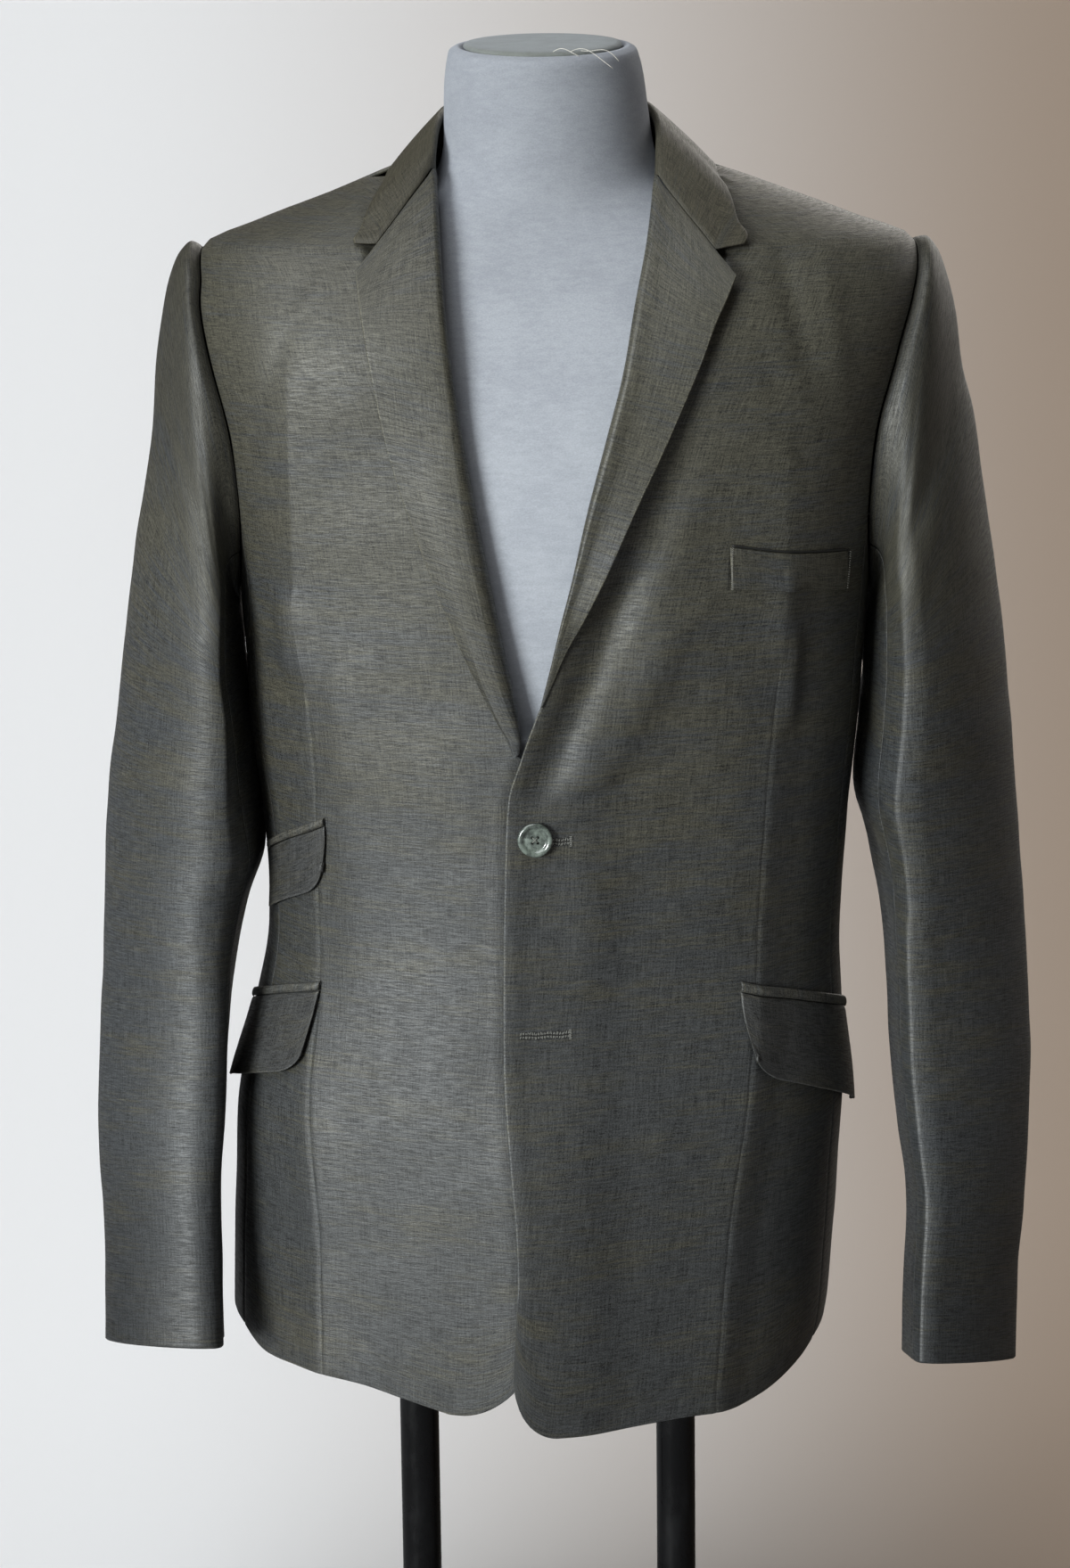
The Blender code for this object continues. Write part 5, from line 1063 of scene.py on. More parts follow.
def button_disc(material, thread_material):
    """Four-hole button: its profile turned about its axis, with the holes cut through."""
    radius, height = np.array(BUTTON_PROFILE).T
    turn = np.linspace(0.0, 2 * np.pi, 72, endpoint=False)
    ring = np.stack([radius[1:-1, None] * np.cos(turn), radius[1:-1, None] * np.sin(turn),
                     height[1:-1, None] * np.ones_like(turn)], axis=-1)
    work = bmesh.new()
    rings = [[work.verts.new(point) for point in row] for row in ring]
    ends = [work.verts.new((0.0, 0.0, height[0])), work.verts.new((0.0, 0.0, height[-1]))]
    count = len(turn)
    for low, high in zip(rings, rings[1:]):
        for k in range(count):
            work.faces.new((low[k], high[k], high[(k + 1) % count], low[(k + 1) % count]))
    for k in range(count):
        work.faces.new((rings[0][k], rings[0][(k + 1) % count], ends[0]))
        work.faces.new((rings[-1][(k + 1) % count], rings[-1][k], ends[1]))
    bmesh.ops.recalc_face_normals(work, faces=work.faces)
    mesh = bpy.data.meshes.new("button_disc")
    work.to_mesh(mesh)
    work.free()
    disc = bpy.data.objects.new("button_disc", mesh)
    bpy.context.scene.collection.objects.link(disc)
    cutters = []
    for x in (-0.0016, 0.0016):
        for y in (-0.0016, 0.0016):
            bpy.ops.mesh.primitive_cylinder_add(vertices=24, radius=0.00085, depth=0.012,
                                                location=(x, y, 0.0))
            cutters.append(bpy.context.object)
            cut = disc.modifiers.new("hole", "BOOLEAN")
            cut.object = cutters[-1]
            cut.solver = "EXACT"
    graph = bpy.context.evaluated_depsgraph_get()
    cut_mesh = bpy.data.meshes.new_from_object(disc.evaluated_get(graph))
    disc.modifiers.clear()
    disc.data = cut_mesh
    for cutter in cutters:
        bpy.data.objects.remove(cutter, do_unlink=True)
    place = front_point(np.array(BUTTON_X), np.array(BUTTON_Z), WRAP_LIFT + 0.0009) + CENTRE_SHIFT
    tilt = Matrix.Translation(Vector(place)) @ Matrix.Rotation(math.pi / 2, 4, "X")
    cut_mesh.transform(tilt)
    cut_mesh.name = "button_disc"
    cut_mesh.shade_smooth()
    cut_mesh.set_sharp_from_angle(angle=math.radians(38))
    cut_mesh.materials.clear()
    cut_mesh.materials.append(material)
    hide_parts("button")
    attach(disc, "root")
    middle = place - CENTRE_SHIFT
    threads = []
    for x_from, z_from, x_to, z_to in ((-1, -1, 1, 1), (-1, 1, 1, -1), (-1.1, -0.8, 0.9, 1.1),
                                       (-0.9, 1.1, 1.1, -0.9)):
        t = np.linspace(0.0, 1.0, 9)
        path = np.stack([middle[0] + 0.0016 * (x_from + (x_to - x_from) * t),
                         middle[1] - 0.0019 - 0.0011 * np.sin(np.pi * t),
                         middle[2] + 0.0016 * (z_from + (z_to - z_from) * t)], axis=-1)
        threads.append(path)
    thread_piece("button_thread", threads, 0.00028, thread_material)


# ---------------------------------------------------------------- form and stand
# Inset from the rim and rise of the rings of the neck's lip and of the disc in it.
LIP_PROFILE = ((0.0012, 0.00035), (0.0026, 0.0002), (0.0038, -0.0006), (0.0043, -0.0020))
DISC_PROFILE = ((0.0063, -0.0016), (0.0052, -0.0008), (0.0050, 0.0002), (0.0055, 0.0012),
                (0.0066, 0.0019), (0.0085, 0.0023))
# Loose threads: start x, y and z, run to the side, bend, fall and sway.
LOOSE_THREAD_ROWS = (
    (0.0160, -0.0440, 1.0560, 0.0240, -0.0060, 0.0095, 0.003),
    (0.0220, -0.0460, 1.0565, 0.0215, -0.0030, 0.0060, -0.004),
    (0.0060, -0.0455, 1.0560, 0.0150, -0.0075, 0.0025, 0.002),
)


def form_cover(material, cap_material):
    """The form's covered body, closed at both ends, and the inset disc on its neck."""
    heights = np.concatenate([[0.318, 0.3195, 0.3225, 0.326], np.linspace(0.335, 0.98, 110),
                              np.linspace(0.984, 1.048, 34), np.linspace(1.050, 1.058, 12)])
    angles = np.linspace(0.0, 2 * np.pi, 144, endpoint=False)[None]
    z = heights[:, None] * np.ones_like(angles)
    points = ring_point(FORM, angles * np.ones_like(z), z)
    points[..., 2] += NECK_TILT * points[..., 1] * ease(z, 0.99, 1.05)
    slack = 0.00025 * np.sin(3 * angles + 60 * z) * ease(z, 0.98, 1.0) * ease(-z, -1.05, -1.03)
    from_axis = unit(points - points.mean(axis=1, keepdims=True))
    points[..., :2] += (from_axis * slack[..., None])[..., :2]
    rim = points[-1]
    centre = rim.mean(axis=0)
    inward = unit((rim - centre) * np.array([1.0, 1.0, 0.0]))

    def tilted_rings(profile):
        """Rings inside the rim, on the neck's slant: one for each inset and rise."""
        rings = []
        for inset, rise in profile:
            ring = rim - inward * inset
            ring[:, 2] = centre[2] + NECK_TILT * (ring[:, 1] - centre[1]) + rise
            rings.append(ring)
        return rings
    lip = tilted_rings(LIP_PROFILE)
    shares = (0.75, 0.5, 0.25, 0.02)
    floor = [lip[-1] + (centre - lip[-1]) * (1 - share) - np.array([0.0, 0.0, 0.0012])
             for share in shares]
    base = points[0]
    foot = [base + (base.mean(axis=0) - base) * (1 - share) for share in (0.02, 0.3, 0.6, 0.85)]
    grid = np.concatenate([np.array(foot), points, np.array(lip), np.array(floor)])
    piece = closed_ring_piece("form_cover", grid, material)
    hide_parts("form_torso")
    top = tilted_rings(DISC_PROFILE)
    inner = top[-1]
    high = centre + np.array([0.0, 0.0, 0.0029])
    top += [high + (inner - high) * share for share in (0.8, 0.6, 0.4, 0.2, 0.02)]
    low = top[0]
    under = [low + (low.mean(axis=0) - low) * (1 - share) for share in (0.02, 0.5, 0.9)]
    cap = closed_ring_piece("neck_disc", np.array(under + top), cap_material)
    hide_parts("neck_cap")


def closed_ring_piece(name, grid, material):
    """Closed body of rings, its two ends shut with a small face each."""
    def facing(centres):
        return centres - grid.reshape(-1, 3).mean(axis=0)
    piece = grid_piece(name, grid, facing, ring=True)
    work = bmesh.new()
    work.from_mesh(piece.data)
    bmesh.ops.holes_fill(work, edges=[edge for edge in work.edges if edge.is_boundary], sides=0)
    bmesh.ops.recalc_face_normals(work, faces=work.faces)
    work.to_mesh(piece.data)
    work.free()
    piece.data.shade_smooth()
    piece.data.materials.append(material)
    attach(piece, "root")
    return piece


def loose_threads(material):
    """Three loose pale threads at the rim of the neck: curved paths over its edge."""
    t = np.linspace(0.0, 1.0, 15)
    paths = []
    for x, y, z, run, bend, fall, sway in LOOSE_THREAD_ROWS:
        paths.append(np.stack([x + run * t, y + bend * np.sin(np.pi * t * 0.6),
                               z + 0.002 * np.sin(np.pi * t) - fall * t ** 2
                               + sway * 0.3 * np.sin(2 * np.pi * t)], axis=-1))
    thread_piece("loose_threads", paths, 0.00022, material)


def stand(material):
    """Two round posts with softened ends, and the finish of the plate."""
    bottom, top = PLATE_HEIGHT + SEAM_GAP, FORM["z"][0] - SEAM_GAP
    angles = np.linspace(0.0, 2 * np.pi, 96, endpoint=False)[None]
    for side_name, x in zip(("right", "left"), POST_X):
        heights = np.concatenate([[bottom, bottom + 0.0004, bottom + 0.001],
                                  np.linspace(bottom + 0.02, top - 0.02, 12),
                                  [top - 0.001, top - 0.0004, top]])
        radius = np.full(len(heights), POST_RADIUS)
        radius[[0, -1]] -= 0.0008
        radius[[1, -2]] -= 0.0002
        ring = np.stack([x + radius[:, None] * np.cos(angles), radius[:, None] * np.sin(angles),
                         heights[:, None] * np.ones_like(angles)], axis=-1)
        post = closed_ring_piece(f"stand_post_{side_name}", ring, material)
        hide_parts(f"post_{side_name}")
    plate = bpy.data.objects["base_plate"]
    plate.data.materials.clear()
    plate.data.materials.append(material)


# ---------------------------------------------------------------- materials
CAMERA_DISTANCE = 2.37
# Cloth colours are linear red, green and blue of the warm and the cool yarn. The last two columns
# are painted shade: factors on the colour at the hem and cuffs and at the shoulders.
CLOTH_COLUMNS = ("name", "warm", "cool", "cool_share", "contrast", "specular", "low_painted_shade",
                 "high_painted_shade")
CLOTH_ROWS = (
    ("two_tone_cloth", (0.066, 0.0625, 0.047), (0.049, 0.0515, 0.053), 0.45, 1.0, 0.50, 0.88, 1.0),
    ("sleeve_cloth", (0.064, 0.061, 0.047), (0.048, 0.0515, 0.055), 0.45, 1.0, 0.50, 0.58, 0.72),
    # The collar cloth is darker and browner than the body cloth: painted shade for its weaker
    # sheen.
    ("collar_cloth", (0.056, 0.0515, 0.037), (0.045, 0.0455, 0.041), 0.40, 0.8, 0.35, 0.88, 1.0),
    ("flap_cloth", (0.064, 0.061, 0.050), (0.054, 0.055, 0.055), 0.45, 1.0, 0.40, 0.88, 1.0),
    # The strip cloth is lighter and of more contrast than the body cloth: painted sheen of the
    # rounded jets.
    ("strip_cloth", (0.090, 0.084, 0.066), (0.066, 0.069, 0.068), 0.40, 1.3, 0.50, 0.88, 1.0),
)


def new_group(name, inputs, outputs):
    """Shader node group with named sockets."""
    group = bpy.data.node_groups.new(name, "ShaderNodeTree")
    for socket, kind, default in inputs:
        made = group.interface.new_socket(name=socket, in_out="INPUT", socket_type=kind)
        if default is not None:
            made.default_value = default
    for socket, kind in outputs:
        group.interface.new_socket(name=socket, in_out="OUTPUT", socket_type=kind)
    return group


def add(tree, kind, inputs=None, **settings):
    """Add a node, set its fields and fill or link its inputs."""
    node = tree.nodes.new(kind)
    for field, value in settings.items():
        setattr(node, field, value)
    for socket, value in (inputs or {}).items():
        target = node.inputs[socket]
        if isinstance(value, bpy.types.NodeSocket):
            tree.links.new(value, target)
        else:
            target.default_value = value
    return node


def noise(tree, vector, scale, detail=2.0, rough=0.5, dimensions="2D"):
    """Noise whose grain differs along the two cloth directions."""
    stretched = add(tree, "ShaderNodeVectorMath", {0: vector, 1: scale}, operation="MULTIPLY")
    return add(tree, "ShaderNodeTexNoise", {"Vector": stretched.outputs[0], "Scale": 1.0,
                                            "Detail": detail, "Roughness": rough},
               noise_dimensions=dimensions).outputs["Fac"]


def remap(tree, value, low, high, to_low=0.0, to_high=1.0):
    """Clamp a value's range onto another one."""
    return add(tree, "ShaderNodeMapRange", {0: value, 1: low, 2: high, 3: to_low, 4: to_high},
               interpolation_type="SMOOTHSTEP").outputs[0]


def math_node(tree, operation, first, second=0.0):
    """One step of arithmetic."""
    return add(tree, "ShaderNodeMath", {0: first, 1: second}, operation=operation).outputs[0]


def weighted_sum(tree, *pairs):
    """Sum of values, each times its weight."""
    total = None
    for value, weight in pairs:
        part = math_node(tree, "MULTIPLY", value, weight)
        total = part if total is None else math_node(tree, "ADD", total, part)
    return total


def blend(tree, mask, first, second):
    """Colour that goes from the first to the second as the mask goes from 0 to 1."""
    colours = [(*colour, 1.0) if isinstance(colour, tuple) else colour
               for colour in (first, second)]
    return add(tree, "ShaderNodeMix", {0: mask, 6: colours[0], 7: colours[1]},
               data_type="RGBA").outputs[2]


def scaled(tree, colour, factor):
    """Colour times a value."""
    return add(tree, "ShaderNodeVectorMath", {0: colour, "Scale": factor},
               operation="SCALE").outputs[0]


def weave_group():
    """Two-tone slubbed cloth: streaks of both yarns along the weft, fine warp lines, and painted
    highlights along seams and free edges.

    The cool yarn shows where long streaks and broad bands pass the cool share. Brightness is the
    sum of weft streaks, warp lines and grain. Near the seam line and the free edges the colour
    lifts, a painted highlight, and the height is what the yarns stand out.
    """
    group = new_group("two_tone_weave", (
        ("Cut", "NodeSocketVector", None), ("Warm", "NodeSocketColor", (0.08, 0.07, 0.045, 1.0)),
        ("Cool", "NodeSocketColor", (0.05, 0.06, 0.075, 1.0)),
        ("Cool share", "NodeSocketFloat", 0.5),
        ("Seam", "NodeSocketFloat", FAR), ("Edge", "NodeSocketFloat", FAR),
        ("Contrast", "NodeSocketFloat", 1.0)),
        (("Color", "NodeSocketColor"), ("Roughness", "NodeSocketFloat"),
         ("Height", "NodeSocketFloat")))
    take, give = group.nodes.new("NodeGroupInput"), group.nodes.new("NodeGroupOutput")
    cut = take.outputs["Cut"]
    long_streak = noise(group, cut, (34.0, 560.0, 1.0), 3.0, 0.62)
    band = noise(group, cut, (11.0, 70.0, 1.0), 3.0, 0.55)
    weft = noise(group, cut, (150.0, 1500.0, 1.0), 2.0, 0.6)
    slub = noise(group, cut, (60.0, 900.0, 1.0), 2.0, 0.7)
    warp = noise(group, cut, (1050.0, 60.0, 1.0), 3.0, 0.6)
    grain = noise(group, cut, (1100.0, 1100.0, 1.0), 1.0, 0.5)
    mixed = weighted_sum(group, (long_streak, 0.55), (band, 0.45))
    low = math_node(group, "SUBTRACT", 0.93, take.outputs["Cool share"])
    cool = remap(group, math_node(group, "ADD", mixed, math_node(group, "SUBTRACT", 0.5, low)),
                 0.36, 0.66)
    colour = blend(group, cool, take.outputs["Warm"], take.outputs["Cool"])
    lights = weighted_sum(group, (weft, 0.6), (warp, 0.75), (grain, 0.8), (slub, 0.7))
    lights = math_node(group, "MULTIPLY", math_node(group, "SUBTRACT", lights, 1.5),
                       math_node(group, "MULTIPLY", take.outputs["Contrast"], 1.8))
    lights = math_node(group, "ADD", lights, 1.0)
    # Painted highlight: the colour brightens close to seam lines and free edges.
    near = add(group, "ShaderNodeMath", {0: take.outputs["Seam"]}, operation="ABSOLUTE").outputs[0]
    line = remap(group, near, 0.0003, 0.0010, 1.0, 0.0)
    rim = remap(group, take.outputs["Edge"], 0.0005, 0.0015, 1.0, 0.0)
    painted_highlight = weighted_sum(group, (line, 0.55), (rim, 0.75))
    lights = math_node(group, "MULTIPLY", lights, math_node(group, "ADD", painted_highlight, 1.0))
    group.links.new(scaled(group, colour, lights), give.inputs["Color"])
    threads = math_node(group, "ADD", weft, slub)
    rough = remap(group, threads, 0.75, 1.25, 0.60, 0.44)
    group.links.new(rough, give.inputs["Roughness"])
    height = weighted_sum(group, (weft, 0.5), (warp, 0.35), (slub, 0.3))
    group.links.new(height, give.inputs["Height"])
    return group


def fresh_material(name):
    """Material with its Principled shader, and that shader."""
    material = bpy.data.materials.new(name)
    material.use_nodes = True
    return material, material.node_tree, material.node_tree.nodes["Principled BSDF"]


def cloth_material(name, weave, warm, cool, cool_share, contrast, specular, low_painted_shade, high_painted_shade):
    """Two-tone cloth with its own yarn colours, darkened by painted shade towards the hem and the
    cuffs and, on the sleeves, towards the shoulders.
    """
    material, tree, shader = fresh_material(name)
    cut = add(tree, "ShaderNodeUVMap", uv_map="cut")
    seam = add(tree, "ShaderNodeAttribute", attribute_name="seam")
    edge = add(tree, "ShaderNodeAttribute", attribute_name="edge")
    parts = add(tree, "ShaderNodeSeparateXYZ", {0: object_point(tree)})
    # Painted light tint: the cool share falls with height, so the upper cloth reads more olive and
    # brighter where the sky light falls; the broad noise adds a random drift of the dye.
    broad = noise(tree, object_point(tree), (9.0, 9.0, 16.0), 2.0, 0.5, "3D")
    painted_tint_and_drift = math_node(tree, "ADD", remap(tree, parts.outputs[2], 0.45, 0.95, 0.07, -0.13),
                      remap(tree, broad, 0.3, 0.7, -0.05, 0.05))
    cloth = add(tree, "ShaderNodeGroup", node_tree=weave)
    for socket, value in (("Cut", cut.outputs[0]), ("Seam", seam.outputs["Fac"]),
                          ("Edge", edge.outputs["Fac"]),
                          ("Cool share", math_node(tree, "ADD", painted_tint_and_drift, cool_share))):
        tree.links.new(value, cloth.inputs[socket])
    cloth.inputs["Warm"].default_value = (*warm, 1.0)
    cloth.inputs["Cool"].default_value = (*cool, 1.0)
    cloth.inputs["Contrast"].default_value = contrast
    # Painted shade: the colour darkens below z 0.46 and above z 0.76 by the row's two factors.
    tone = math_node(tree, "MULTIPLY", remap(tree, parts.outputs[2], 0.28, 0.46, low_painted_shade, 1.0),
                     remap(tree, parts.outputs[2], 0.76, 0.88, 1.0, high_painted_shade))
    bump = add(tree, "ShaderNodeBump", {"Strength": 0.6, "Distance": 0.0004,
                                        "Height": cloth.outputs["Height"]})
    tree.links.new(scaled(tree, cloth.outputs["Color"], tone), shader.inputs["Base Color"])
    tree.links.new(cloth.outputs["Roughness"], shader.inputs["Roughness"])
    tree.links.new(bump.outputs[0], shader.inputs["Normal"])
    along = add(tree, "ShaderNodeTangent", direction_type="UV_MAP", uv_map="cut")
    tree.links.new(along.outputs[0], shader.inputs["Tangent"])
    shader.inputs["Anisotropic"].default_value = 0.3
    shader.inputs["Anisotropic Rotation"].default_value = 0.25
    shader.inputs["Specular IOR Level"].default_value = specular
    return material


def object_point(tree):
    """Object coordinates of the piece."""
    return add(tree, "ShaderNodeTexCoord").outputs["Object"]


def flock_material(name, colour, shade):
    """Flocked cover: short nap, brushed patches, faint rubbed streaks, and painted light that makes
    it brighter at the chest and darker up the neck.
    """
    material, tree, shader = fresh_material(name)
    point = object_point(tree)
    brushed = noise(tree, point, (26.0, 26.0, 34.0), 4.0, 0.6, "3D")
    nap = noise(tree, point, (900.0, 900.0, 1500.0), 2.0, 0.6, "3D")
    rubbed = noise(tree, point, (120.0, 120.0, 420.0), 3.0, 0.6, "3D")
    tone = weighted_sum(tree, (brushed, 0.55), (rubbed, 0.45))
    base = blend(tree, remap(tree, tone, 0.36, 0.64), shade, colour)
    height = add(tree, "ShaderNodeSeparateXYZ", {0: point}).outputs[2]
    # Painted light: the colour is brighter below z 0.78 and darker towards the top of the neck.
    painted_light_by_height = remap(tree, height, 0.78, 1.02, 1.30, 0.86)
    speck = math_node(tree, "MULTIPLY", remap(tree, nap, 0.2, 0.8, 0.90, 1.10), painted_light_by_height)
    tree.links.new(scaled(tree, base, speck), shader.inputs["Base Color"])
    tree.links.new(remap(tree, nap, 0.3, 0.7, 0.86, 0.98), shader.inputs["Roughness"])
    bump = add(tree, "ShaderNodeBump", {"Strength": 0.35, "Distance": 0.0004, "Height": nap})
    tree.links.new(bump.outputs[0], shader.inputs["Normal"])
    shader.inputs["Specular IOR Level"].default_value = 0.15
    shader.inputs["Sheen Weight"].default_value = 0.25
    shader.inputs["Sheen Roughness"].default_value = 0.6
    shader.inputs["Sheen Tint"].default_value = (0.80, 0.86, 1.0, 1.0)
    return material


def resin_material():
    """Pearly grey-green resin with cloudy swirls."""
    material, tree, shader = fresh_material("pearl_resin")
    point = object_point(tree)
    cloud = noise(tree, point, (260.0, 260.0, 170.0), 4.0, 0.6, "3D")
    swirl = noise(tree, point, (90.0, 90.0, 520.0), 3.0, 0.7, "3D")
    mask = remap(tree, math_node(tree, "MULTIPLY", cloud, math_node(tree, "ADD", swirl, 0.5)),
                 0.30, 0.68)
    base = blend(tree, mask, (0.040, 0.050, 0.044), (0.17, 0.205, 0.178))
    tree.links.new(base, shader.inputs["Base Color"])
    tree.links.new(remap(tree, cloud, 0.3, 0.7, 0.18, 0.34), shader.inputs["Roughness"])
    shader.inputs["Specular IOR Level"].default_value = 0.8
    shader.inputs["Coat Weight"].default_value = 0.8
    shader.inputs["Coat Roughness"].default_value = 0.08
    return material


def steel_material():
    """Black gloss steel with faint dust and rubbed marks."""
    material, tree, shader = fresh_material("black_gloss_steel")
    point = object_point(tree)
    dust = noise(tree, point, (60.0, 60.0, 25.0), 5.0, 0.65, "3D")
    base = blend(tree, remap(tree, dust, 0.45, 0.75), (0.004, 0.004, 0.0045),
                 (0.009, 0.009, 0.010))
    tree.links.new(base, shader.inputs["Base Color"])
    tree.links.new(remap(tree, dust, 0.3, 0.7, 0.20, 0.36), shader.inputs["Roughness"])
    shader.inputs["Specular IOR Level"].default_value = 0.22
    return material


def thread_material(name, colour):
    """Twisted sewing thread: fine light and dark along it."""
    material, tree, shader = fresh_material(name)
    twist = noise(tree, object_point(tree), (2600.0, 2600.0, 2600.0), 1.0, 0.5, "3D")
    speck = remap(tree, twist, 0.3, 0.7, 0.75, 1.2)
    tree.links.new(scaled(tree, colour, speck), shader.inputs["Base Color"])
    shader.inputs["Roughness"].default_value = 0.6
    return material


def floor_material():
    """Pale floor with painted shade: darker and warmer behind the form on the side away from the
    window.

    The painted shade grows with x over the distance from the camera's line, and with y. The floor
    is darker to bounced rays than to the camera.
    """
    material, tree, shader = fresh_material("pale_floor")
    parts = add(tree, "ShaderNodeSeparateXYZ", {0: object_point(tree)})
    reach = math_node(tree, "ADD", math_node(tree, "ABSOLUTE", parts.outputs[1]), CAMERA_DISTANCE)
    fan = math_node(tree, "DIVIDE", parts.outputs[0], reach)
    # Painted shade: the floor turns darker and warmer towards the viewer's right and towards the
    # back.
    mask = math_node(tree, "MULTIPLY", remap(tree, fan, -0.13, 0.16),
                     remap(tree, parts.outputs[1], -0.9, 0.25))
    base = blend(tree, mask, (0.80, 0.81, 0.83), (0.30, 0.235, 0.185))
    seen = add(tree, "ShaderNodeLightPath").outputs["Is Camera Ray"]
    share = remap(tree, seen, 0.0, 1.0, 0.30, 1.0)
    tree.links.new(scaled(tree, base, share), shader.inputs["Base Color"])
    shader.inputs["Roughness"].default_value = 0.9
    shader.inputs["Specular IOR Level"].default_value = 0.1
    return material


# ---------------------------------------------------------------- stage
# Lights: azimuth to the viewer's right, elevation and width in degrees, power, colour, and
# whether the light falls on the floor alone (INCLUDE) or on all else (EXCLUDE).
LIGHT_ROWS = (
    ("window", -40.0, 5.0, 24.0, 4.30, (0.95, 0.99, 0.98), None),
    ("sky", -50.0, 58.0, 50.0, 1.7, (0.95, 0.98, 1.0), None),
    ("floor_wash", 0.0, 80.0, 60.0, 1.2, (1.0, 0.99, 0.98), "INCLUDE"),
    ("back_fill", 150.0, 24.0, 60.0, 1.3, (1.0, 0.96, 0.90), "EXCLUDE"),
)


def make_camera():
    """Camera at the photo's angle: 12 degrees down with a slight roll, 92 mm lens."""
    pitch, roll = math.radians(12.0), math.radians(0.7)
    forward = Vector((0.0, math.cos(pitch), -math.sin(pitch)))
    up = Vector((0.0, math.sin(pitch), math.cos(pitch)))
    right = Vector((1.0, 0.0, 0.0))
    right_rolled = right * math.cos(roll) - up * math.sin(roll)
    up_rolled = up * math.cos(roll) + right * math.sin(roll)
    turn = Matrix((right_rolled, up_rolled, -forward)).transposed()
    data = bpy.data.cameras.new("camera")
    data.lens = 92.0
    data.sensor_width = 36.0
    data.clip_end = 400.0
    camera = bpy.data.objects.new("camera", data)
    camera.location = (-0.009414 + CENTRE_SHIFT[0], -2.373991, 1.123111)
    camera.rotation_euler = turn.to_euler()
    bpy.context.scene.collection.objects.link(camera)
    bpy.context.scene.camera = camera


def sun_light(name, azimuth, elevation, softness, power, colour):
    """Broad soft light from far away: degrees to the viewer's right and up, and its width."""
    data = bpy.data.lights.new(name, "SUN")
    data.angle = math.radians(softness)
    data.energy = power
    data.color = colour
    light = bpy.data.objects.new(name, data)
    side, up = math.radians(azimuth), math.radians(elevation)
    place = Vector((math.sin(side) * math.cos(up), -math.cos(side) * math.cos(up), math.sin(up)))
    light.rotation_euler = place.to_track_quat("Z", "Y").to_euler()
    light.location = place * 4.0
    bpy.context.scene.collection.objects.link(light)
    return light


def make_stage():
    """Pale floor and soft light: bright from the viewer's left, weak and warm from behind."""
    mesh = bpy.data.meshes.new("floor")
    mesh.from_pydata([(-150, -60, 0), (150, -60, 0), (150, 260, 0), (-150, 260, 0)], [],
                     [(0, 1, 2, 3)])
    floor = bpy.data.objects.new("floor", mesh)
    bpy.context.scene.collection.objects.link(floor)
    floor.data.materials.append(floor_material())
    for name, azimuth, elevation, softness, power, colour, floor_state in LIGHT_ROWS:
        light = sun_light(name, azimuth, elevation, softness, power, colour)
        if floor_state:
            receivers = bpy.data.collections.new(f"{name}_receivers")
            receivers.objects.link(floor)
            receivers.collection_objects[0].light_linking.link_state = floor_state
            light.light_linking.receiver_collection = receivers
    world = bpy.data.worlds.new("studio")
    bpy.context.scene.world = world
    world.use_nodes = True
    tree = world.node_tree
    seen = add(tree, "ShaderNodeLightPath").outputs["Is Camera Ray"]
    shown = blend(tree, seen, (0.078, 0.070, 0.059), (0.70, 0.69, 0.68))
    tree.links.new(shown, tree.nodes["Background"].inputs["Color"])
    bpy.context.scene.view_settings.view_transform = "Standard"


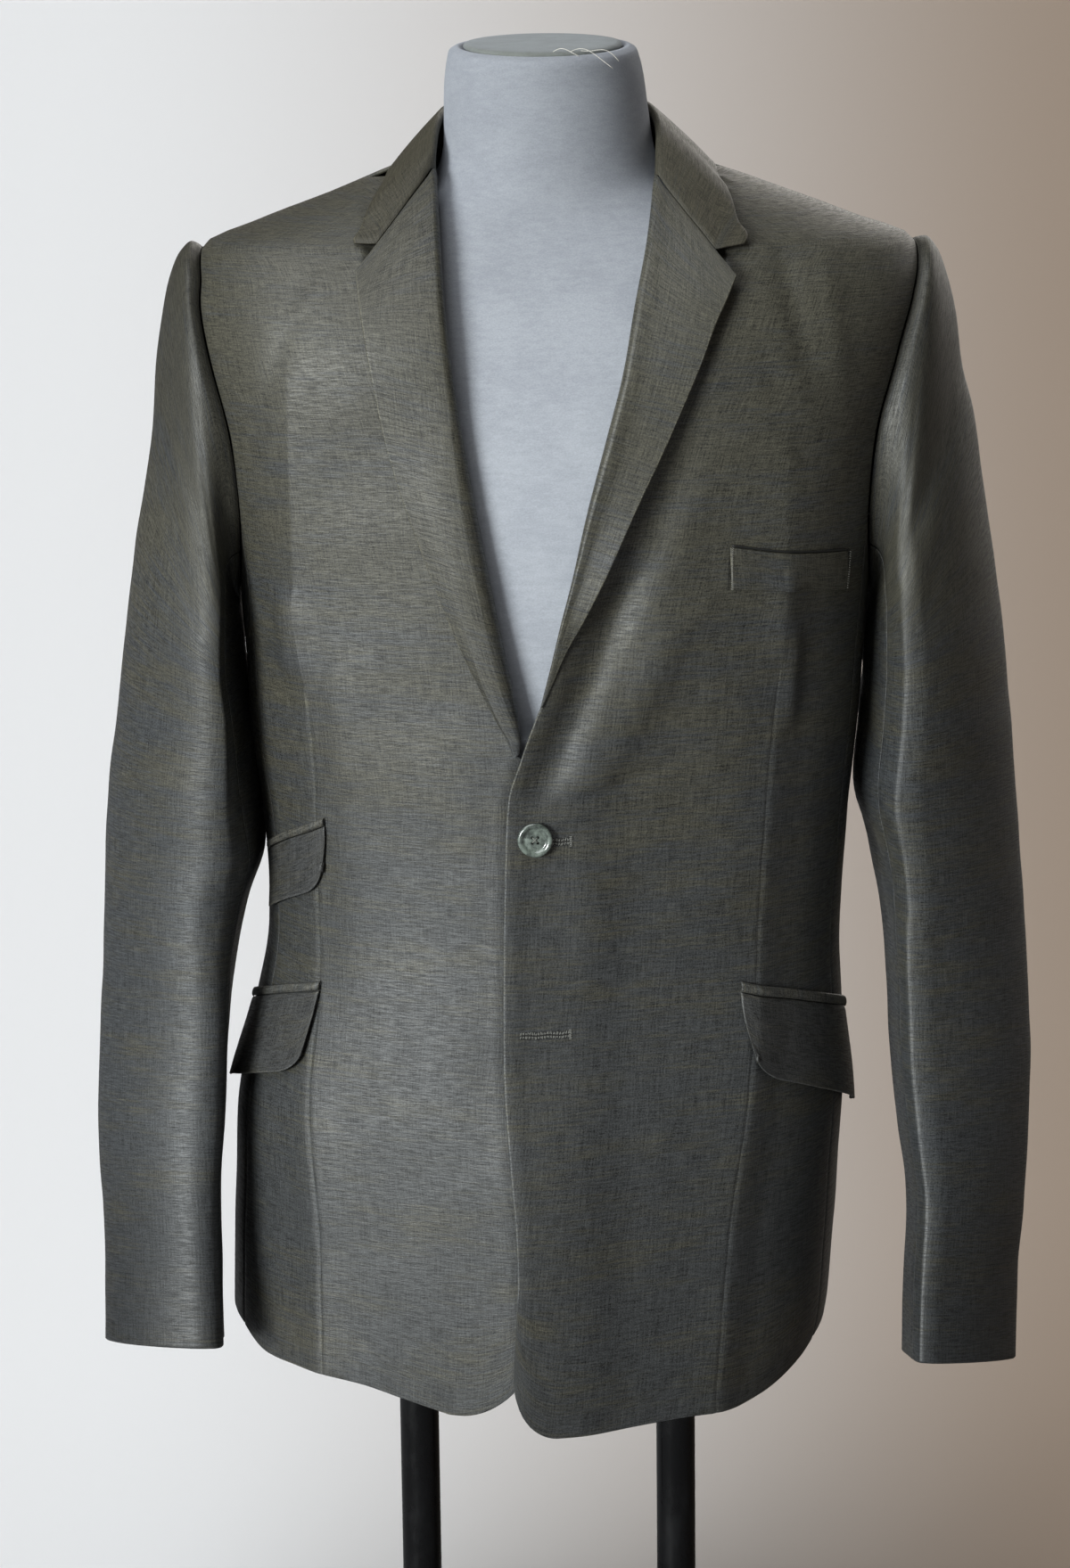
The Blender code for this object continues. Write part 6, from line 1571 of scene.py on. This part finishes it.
def build():
    """Make the stage, then every piece."""
    make_camera()
    make_stage()
    weave = weave_group()
    cloths = [cloth_material(weave=weave, **dict(zip(CLOTH_COLUMNS, row))) for row in CLOTH_ROWS]
    cloth, sleeve_cloth, collar_cloth, flap_cloth, strip_cloth = cloths
    front_shell("left", 1, LEFT_EDGE_ROWS, LEFT_DART_ROWS, LEFT_CORNER, True, cloth)
    front_shell("right", -1, RIGHT_EDGE_ROWS, RIGHT_DART_ROWS, RIGHT_CORNER, False, cloth)
    for side, side_name in ((1, "left"), (-1, "right")):
        side_shell(side_name, side, cloth)
        back_shell(side_name, side, cloth)
    lapel_shell("left", LEFT_LAPEL_ROWS, cloth)
    lapel_shell("right", RIGHT_LAPEL_ROWS, cloth)
    collar_shell(collar_cloth)
    sleeve_shells("left", LEFT_SLEEVE_ROWS, sleeve_cloth)
    sleeve_shells("right", RIGHT_SLEEVE_ROWS, sleeve_cloth)
    pocket_shells(flap_cloth, strip_cloth)
    welt_shell(cloth)
    worked = thread_material("worked_thread", (0.19, 0.19, 0.175))
    # Near-black thread for painted shadow lines in the buttonholes and at the welt.
    shadow_thread = thread_material("painted_shadow_thread", (0.012, 0.012, 0.011))
    for name, x_start, x_end, z in BUTTONHOLE_ROWS:
        buttonhole(name, x_start, x_end, z, WRAP_LIFT + 0.0001, worked, shadow_thread)
    pale = thread_material("welt_thread", (0.30, 0.29, 0.26))
    edge_stitches("welt_stitch_front", 0.1044, 0.7782, 0.1034, 0.7545, 0.0009, 0.0026, pale)
    edge_stitches("welt_stitch_back", 0.1733, 0.7690, 0.1718, 0.7475, 0.0012, 0.0026, pale)
    # Painted shadow: dark threads along the welt's mouth and beside its end stitches.
    mouth_shadow_x = np.linspace(0.1042, 0.1728, 40)
    mouth_shadow_z = smooth(mouth_shadow_x, *np.array(WELT_ROWS).T[:2]) + 0.0007
    thread_piece("welt_mouth_shadow", [front_point(mouth_shadow_x, mouth_shadow_z, 0.0016)], 0.0006, shadow_thread)
    edge_stitches("welt_shadow_front", 0.1030, 0.7786, 0.1020, 0.7540, 0.0009, 0.0004, shadow_thread)
    edge_stitches("welt_shadow_back", 0.1746, 0.7694, 0.1731, 0.7475, 0.0009, 0.0004, shadow_thread)
    button_disc(resin_material(), thread_material("button_thread", (0.16, 0.17, 0.15)))
    form_cover(flock_material("form_nap", (0.338, 0.356, 0.392), (0.290, 0.306, 0.342)),
               flock_material("disc_nap", (0.215, 0.230, 0.215), (0.175, 0.185, 0.170)))
    loose_threads(thread_material("white_thread", (0.62, 0.60, 0.55)))
    stand(steel_material())


build()
